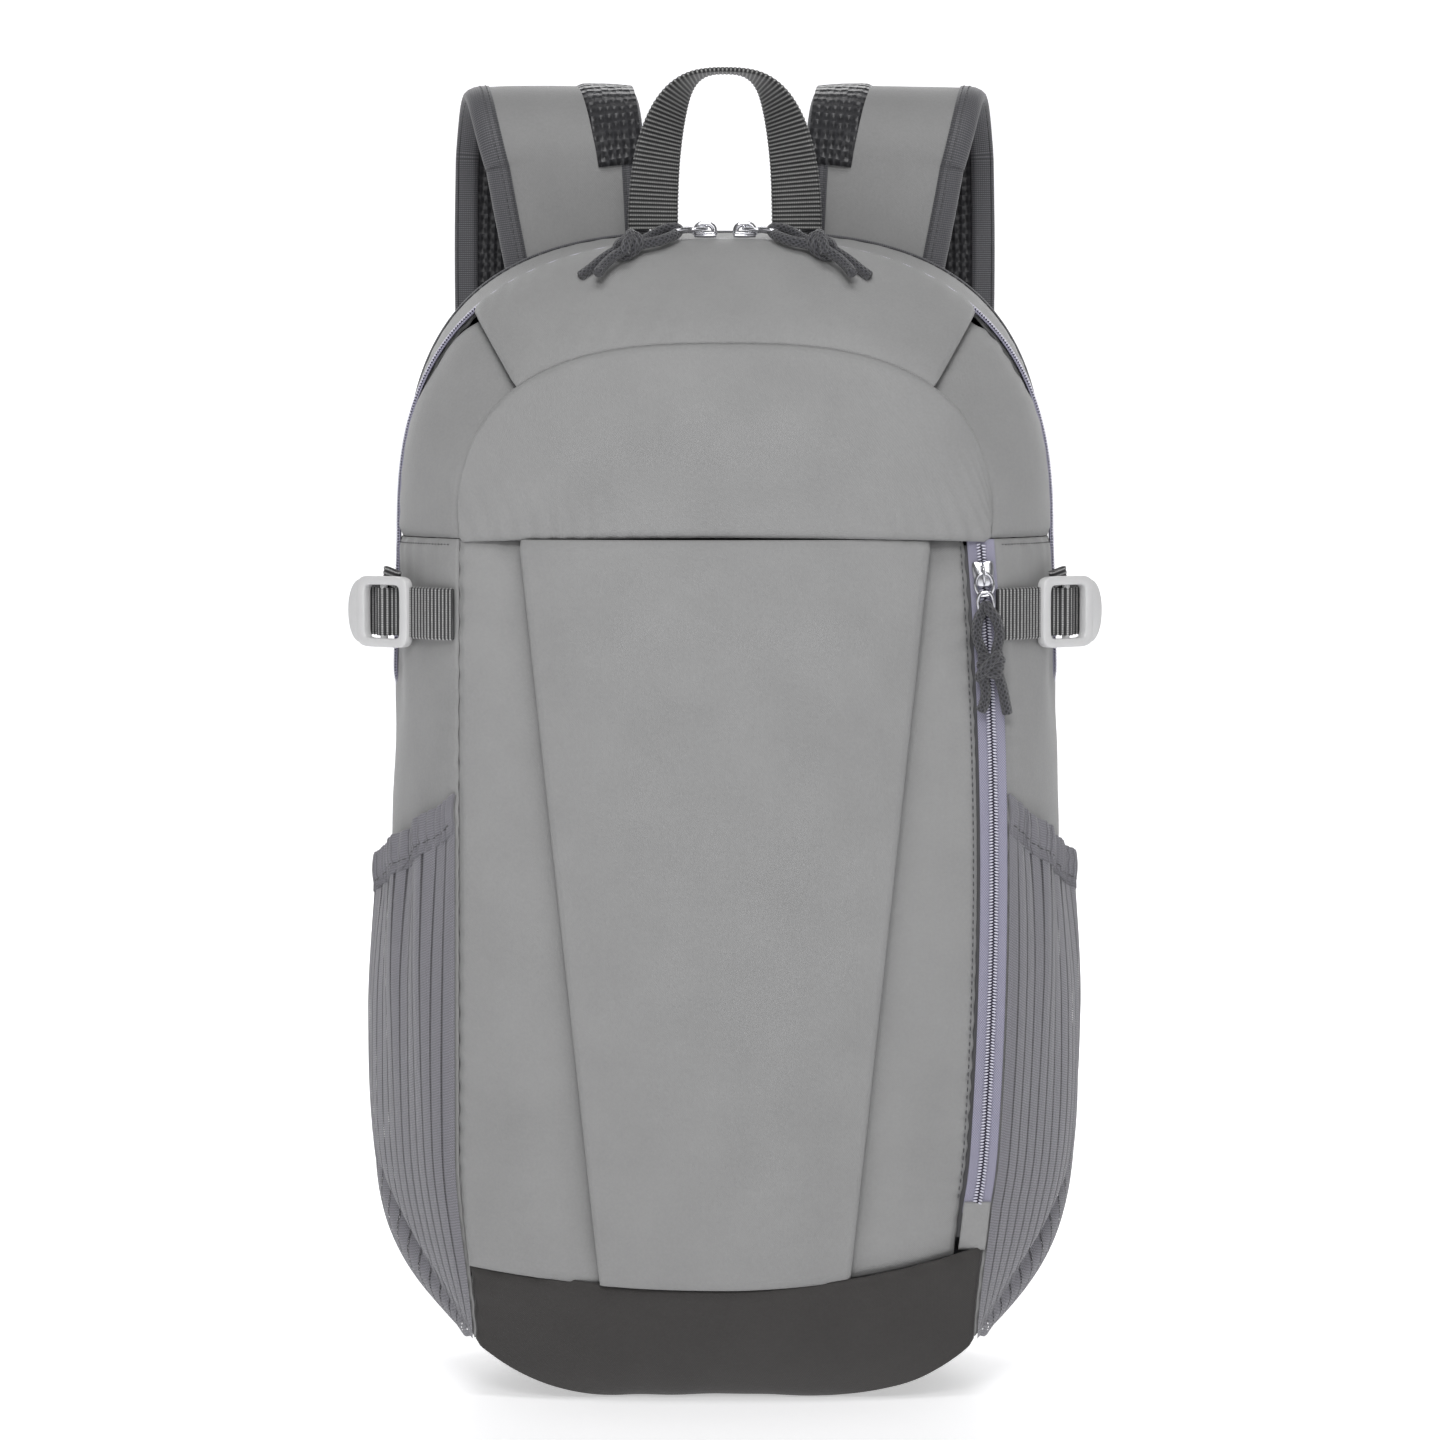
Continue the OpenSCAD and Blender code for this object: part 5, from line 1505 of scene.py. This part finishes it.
every = np.arange(0, len(pad_line), 2)
length_at = np.linspace(0, pad_length, len(pad_line))[every]
for hand, mirror in (("right", 1), ("left", -1)):
    flip = np.array([mirror, 1, 1])
    body = f"shoulder_strap_{hand}"
    # The foam pad, fuller in its middle than at its bound edges.
    u = np.linspace(-1, 1, 30)
    crown_of = (1 - np.abs(u) ** 3.0)
    top = np.broadcast_to(strap_t / 2 - 1.4 + 1.3 * crown_of, (len(every), 30))
    low = np.broadcast_to(-strap_t / 2 + 1.6 - 1.8 * crown_of, (len(every), 30))
    ring = np.concatenate([on_pad(every, np.broadcast_to(u, top.shape), top),
                           on_pad(every, np.broadcast_to(u[::-1], low.shape), low)], 1) * flip
    across_at = np.concatenate([u, 2.2 - u[::-1]]) * 34
    uv = np.stack([np.broadcast_to(across_at, ring.shape[:2]),
                   np.broadcast_to(length_at[:, None], ring.shape[:2])], -1) / 1000
    pad = ring_solid(f"strap_pad_{hand}_foam", ring, spacer, uv)
    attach(pad, body)
    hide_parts(f"strap_pad_{hand}")
    # The cloth cover, with a window of spacer mesh on its inner side over the shoulder.
    u = 0.93 * np.linspace(-1, 1, 60)
    soft = 0.5 * sway(np.stack(np.meshgrid(length_at, u * 34, [mirror * 50.0], indexing="ij"),
                               -1)[:, :, 0], 60, 71 + mirror)
    height = strap_t / 2 - 0.2 + 1.6 * (1 - np.abs(u) ** 4) + soft * (1 - u**4)
    cover_grid = on_pad(every, np.broadcast_to(u, height.shape), height) * flip
    outer = np.broadcast_to((pad_out[every] * flip)[:, None], cover_grid.shape).reshape(-1, 3)
    rows, columns = cover_grid.shape[:2]
    cover = sheet_of(f"strap_cover_{hand}_cloth", cover_grid, strap_cloth, 0.9,
                     outwards=outer[grid_faces(rows, columns)[:, 0]])
    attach(cover, body)
    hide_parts(f"strap_cover_{hand}")
    patch_rows = np.arange(int(0.12 * len(pad_line)), int(0.42 * len(pad_line)), 2)
    patch_u, along_t = np.meshgrid(np.linspace(0, 1, 26), np.linspace(0, 1, len(patch_rows)))
    start_u = -1.0
    end_u = lerp(-0.42, -0.10, along_t)
    patch_at = lerp(start_u, end_u, patch_u)
    patch_height = strap_t / 2 + 1.3 + 1.5 * (1 - np.abs(patch_at) ** 4)
    patch_height = patch_height - 1.2 * np.exp(-(((1 - patch_u) / 0.08) ** 2))
    patch_grid = on_pad(patch_rows, patch_at, patch_height) * flip
    outer = np.broadcast_to((pad_out[patch_rows] * flip)[:, None], patch_grid.shape).reshape(-1, 3)
    rows, columns = patch_grid.shape[:2]
    patch = sheet_of(f"strap_window_{hand}_mesh", patch_grid,
                     spacer, 1.0, outwards=outer[grid_faces(rows, columns)[:, 0]])
    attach(patch, body)
    # The binding folds round each edge, ten millimetres on each face.
    bind = []
    for s in (-1, 1):
        lip = np.array([(-8.8, 4.1), (-6, 4.0), (-3, 3.4),
                        (-0.6, 2.2), (0.9, 0.7), (1.3, -0.8), (0.9, -2.0), (-0.6, -3.0),
                        (-3, -3.8), (-6, -4.35), (-8.6, -4.5)])
        inner = lip * (0.92, 0.78) + (-0.35, -0.1)
        profile = np.concatenate([lip, inner[::-1]])
        spine = on_pad(every, np.full((len(every), 1), float(s)), np.full((len(every), 1), 0.9))
        ring = spine + s * pad_side[every][:,
                                           None] * profile[None, :,
                                                           :1] + pad_out[every][:,
                                                                                None] * profile[
                                                                                    None, :, 1:]
        span = np.concatenate([[0], np.cumsum(np.linalg.norm(np.diff(profile, axis=0), axis=1))])
        uv = np.stack([np.broadcast_to(span, ring.shape[:2]),
                       np.broadcast_to(length_at[:, None], ring.shape[:2])], -1) / 1000
        bind.append(ring_solid(f"strap_binding_{hand}_{'outer' if s > 0 else 'inner'}",
                               ring * flip, binding_tape, uv))
        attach(bind[-1], body)
        for back, lift in ((-7.6, 4.9), (-5.2, 4.7)):
            row = spine[:, 0] + s * pad_side[every] * back + pad_out[every] * (lift - 0.9 + 0.15)
            stitches = bead_line(
                f"strap_stitches_{hand}_{'outer' if s > 0 else 'inner'}_{int(-10 * back)}",
                row * flip,
                                 pad_out[every] * flip, thread, 2.6, (0.5, 0.35, 1.8))
            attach(stitches, body)
    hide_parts(f"strap_binding_{hand}")
    # The adjuster under the pad, and the webbing from it to the bag's lower corner.
    lock_top = np.array([80.0, end_y, strap_end_z - 2 * lock_bar_r - run_gap])
    lock_len = 22.0
    adjuster = ladder_lock(f"adjuster_{hand}_lock", lock_len, False,
                           (lock_top * flip, (0, 0, -1), (1.0, 0, 0), (0, 1.0, 0)), dark_plastic)
    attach(adjuster, f"adjuster_{hand}")
    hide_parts(f"adjuster_{hand}")
    hanger = webbing(f"adjuster_loop_{hand}_webbing",
                     np.array([lock_top + (0, 2.6, -1.5), lock_top + (0, 2.6, 2),
                               lock_top + (0, 1.2, 7), lock_top + (0, 0.4, 16)]) * flip,
                     (1.0, 0, 0), web_w, 1.5, handle_web, 1.7)
    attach(hanger, body)
    t = np.linspace(0, 1, 60)
    high = lock_top - (0, 0, lock_len + lock_bar_r + run_gap)
    low_end = np.array([96.0, back_y + 2.3 + 2.6 * web_t, 32.0])
    lower_path = np.stack([lerp(high[0], low_end[0], t * t),
                           lerp(high[1], low_end[1], t * t), lerp(high[2], low_end[2], t)], -1)
    lower = webbing(f"lower_webbing_{hand}_strap", lower_path * flip,
                    (1.0, 0, 0), web_w, web_t, handle_web, 1.7)
    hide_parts(f"lower_webbing_{hand}")
    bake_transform(lower)

# ---- Back ----------------------------------------------------------------------------------
# The padded back: foam under spacer mesh, quilted into raised pads with an air channel up
# the middle, bound round its edge with the same tape as the straps.


def back_half(z):
    return np.where(z > yoke_z, arch_half * dome((z - yoke_z) / (body_top - yoke_z), back_shape),
                    half_width(z))


def between(value, low, high, soft):
    """1 between two limits and 0 outside them, with soft edges."""
    return 1 / (1 + np.exp(-(value - low) / soft)) / (1 + np.exp((value - high) / soft))


t = np.linspace(0, 1, 240)
rows_z = lerp(0.5, body_top - 0.3, np.clip((1 - np.cos(np.pi * t)) / 2 * 0.55 + t * 0.45, 0, 1))
u = np.linspace(-1, 1, 120)
half = back_half(rows_z)[:, None]
x = half * u
z = np.broadcast_to(rows_z[:, None], x.shape)
pads = between(np.abs(x), 17, 104, 3.0) * between(z, 46, 388, 4.0)
channels = np.exp(-(((z - 150 + 0.12 * np.abs(x)) / 5) ** 2)) + np.exp(
    -(((z - 268 + 0.12 * np.abs(x)) / 5) ** 2))
relief = 5.0 * pads * (1 - 0.8 * np.minimum(1,
                                            channels)) + 0.5 * sway(
                                                np.stack([x, 0 * x, z], -1), 60, 91)
rim = np.clip(1 - np.abs(u), 0, 1) ** 0.5
face_y = back_y - 2.0 + 1.8 * np.minimum(1, 3 * rim) + relief * np.minimum(1, 2.5 * rim)
back_face = np.stack([x, face_y, z], -1)
inner_u = np.linspace(1, -1, 24)
inner_x = half * inner_u
inner_face = np.stack([inner_x, np.full_like(inner_x, rim_y + 0.5),
                       np.broadcast_to(rows_z[:, None], inner_x.shape)], -1)
ring = np.concatenate([back_face, inner_face], 1)
back_uv = np.concatenate([back_face[..., [0, 2]], inner_face[..., [0, 2]]], 1) / 1000
back_pad = ring_solid("back_panel_pads", ring, spacer, back_uv)
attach(back_pad, "pack")
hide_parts("back_panel")

edge_z_up = np.linspace(4, yoke_z, 120)
edge_arc = np.radians(np.linspace(0, 180, 160))
top_x, top_z = arch(arch_half, body_top - yoke_z, back_shape, edge_arc)
right_edge = np.stack([back_half(edge_z_up), edge_z_up], -1)
rim_line = np.concatenate([right_edge, np.stack([top_x, top_z], -1), (right_edge * (-1, 1))[::-1]])
rim_line, _ = resampled(rim_line, 1.2)
rim_path = np.stack([rim_line[:, 0] * 0.996, np.full(len(rim_line), back_y - 3.4),
                     rim_line[:, 1] - 0.6], -1)
piping = solid("back_edge_binding", [tube(rim_path, 1.5, 10, flat=1.9, up=(0, 1, 0.001))],
               binding_tape)
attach(piping, "pack")

low, high = corners("strap_anchor")
anchor_z = (low[2] + high[2]) / 2
anchor_path = np.stack([np.linspace(low[0], high[0], 40),
                        np.full(40, back_y + 1.0), np.full(40, anchor_z)], -1)
anchor = webbing("strap_anchor_webbing", anchor_path, (0, 0, 1),
                 high[2] - low[2], 1.5, binding_tape, 0.9, 0.12, 0.3)
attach(anchor, "pack")
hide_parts("strap_anchor")
for hand, mirror in (("right", 1), ("left", -1)):
    tab = np.array([(-13, -14), (11, -2), (13, 10), (-9, 20)]) * (mirror, 1)
    corners_of = np.concatenate([lerp(tab[k], tab[(k + 1) % 4],
                                      np.linspace(0, 1,
                                                  14, endpoint=False)[:, None]) for k in range(4)])
    tab_frame = ((96 * mirror, back_y + 0.4, 32), (1, 0, 0), (0, 0, 1), (0, 1, 0))
    p, f, uv = outline_plate(corners_of, 0, 2.3, 0.6)
    tab_piece = solid(f"strap_tab_{hand}_cloth", [(placed(p, *tab_frame), f, uv)], boot_cloth)
    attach(tab_piece, "pack")
    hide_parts(f"strap_tab_{hand}")
    stitch_at = corners_of * 0.78
    stitch_path = placed(np.concatenate([stitch_at, np.full((len(stitch_at), 1), 2.4)], 1),
                         *tab_frame)
    stitched(f"stitches_tab_{hand}", stitch_path, 0.0, 2.6,
             (0.5, 0.35, 1.8), outward=np.array([0, 1.0, 0]))

# ---- Inside --------------------------------------------------------------------------------
# Unseen while the bag is shut: a lining-cloth sleeve and pocket wall, and a fluted board
# that stiffens the back.

lining = woven("lining_cloth", srgb(84, 84, 86), srgb(100, 100, 102), 0.6)
board, board_tree, board_shader = blank_material("fluted_board", srgb(48, 48, 50), 0.5)
flutes = noise_of(board_tree, 60, 2, (8, 1, 0.1))
mottled(board_tree, board_shader, srgb(40, 40, 42), srgb(58, 58, 60), flutes)
bump_into(board_tree, board_shader, flutes, 0.0004, 0.6)
for node_name, finish in (("laptop_sleeve", lining), ("pocket_divider", lining),
                          ("back_stiffener", board)):
    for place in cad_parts[node_name].material_slots:
        place.material = finish
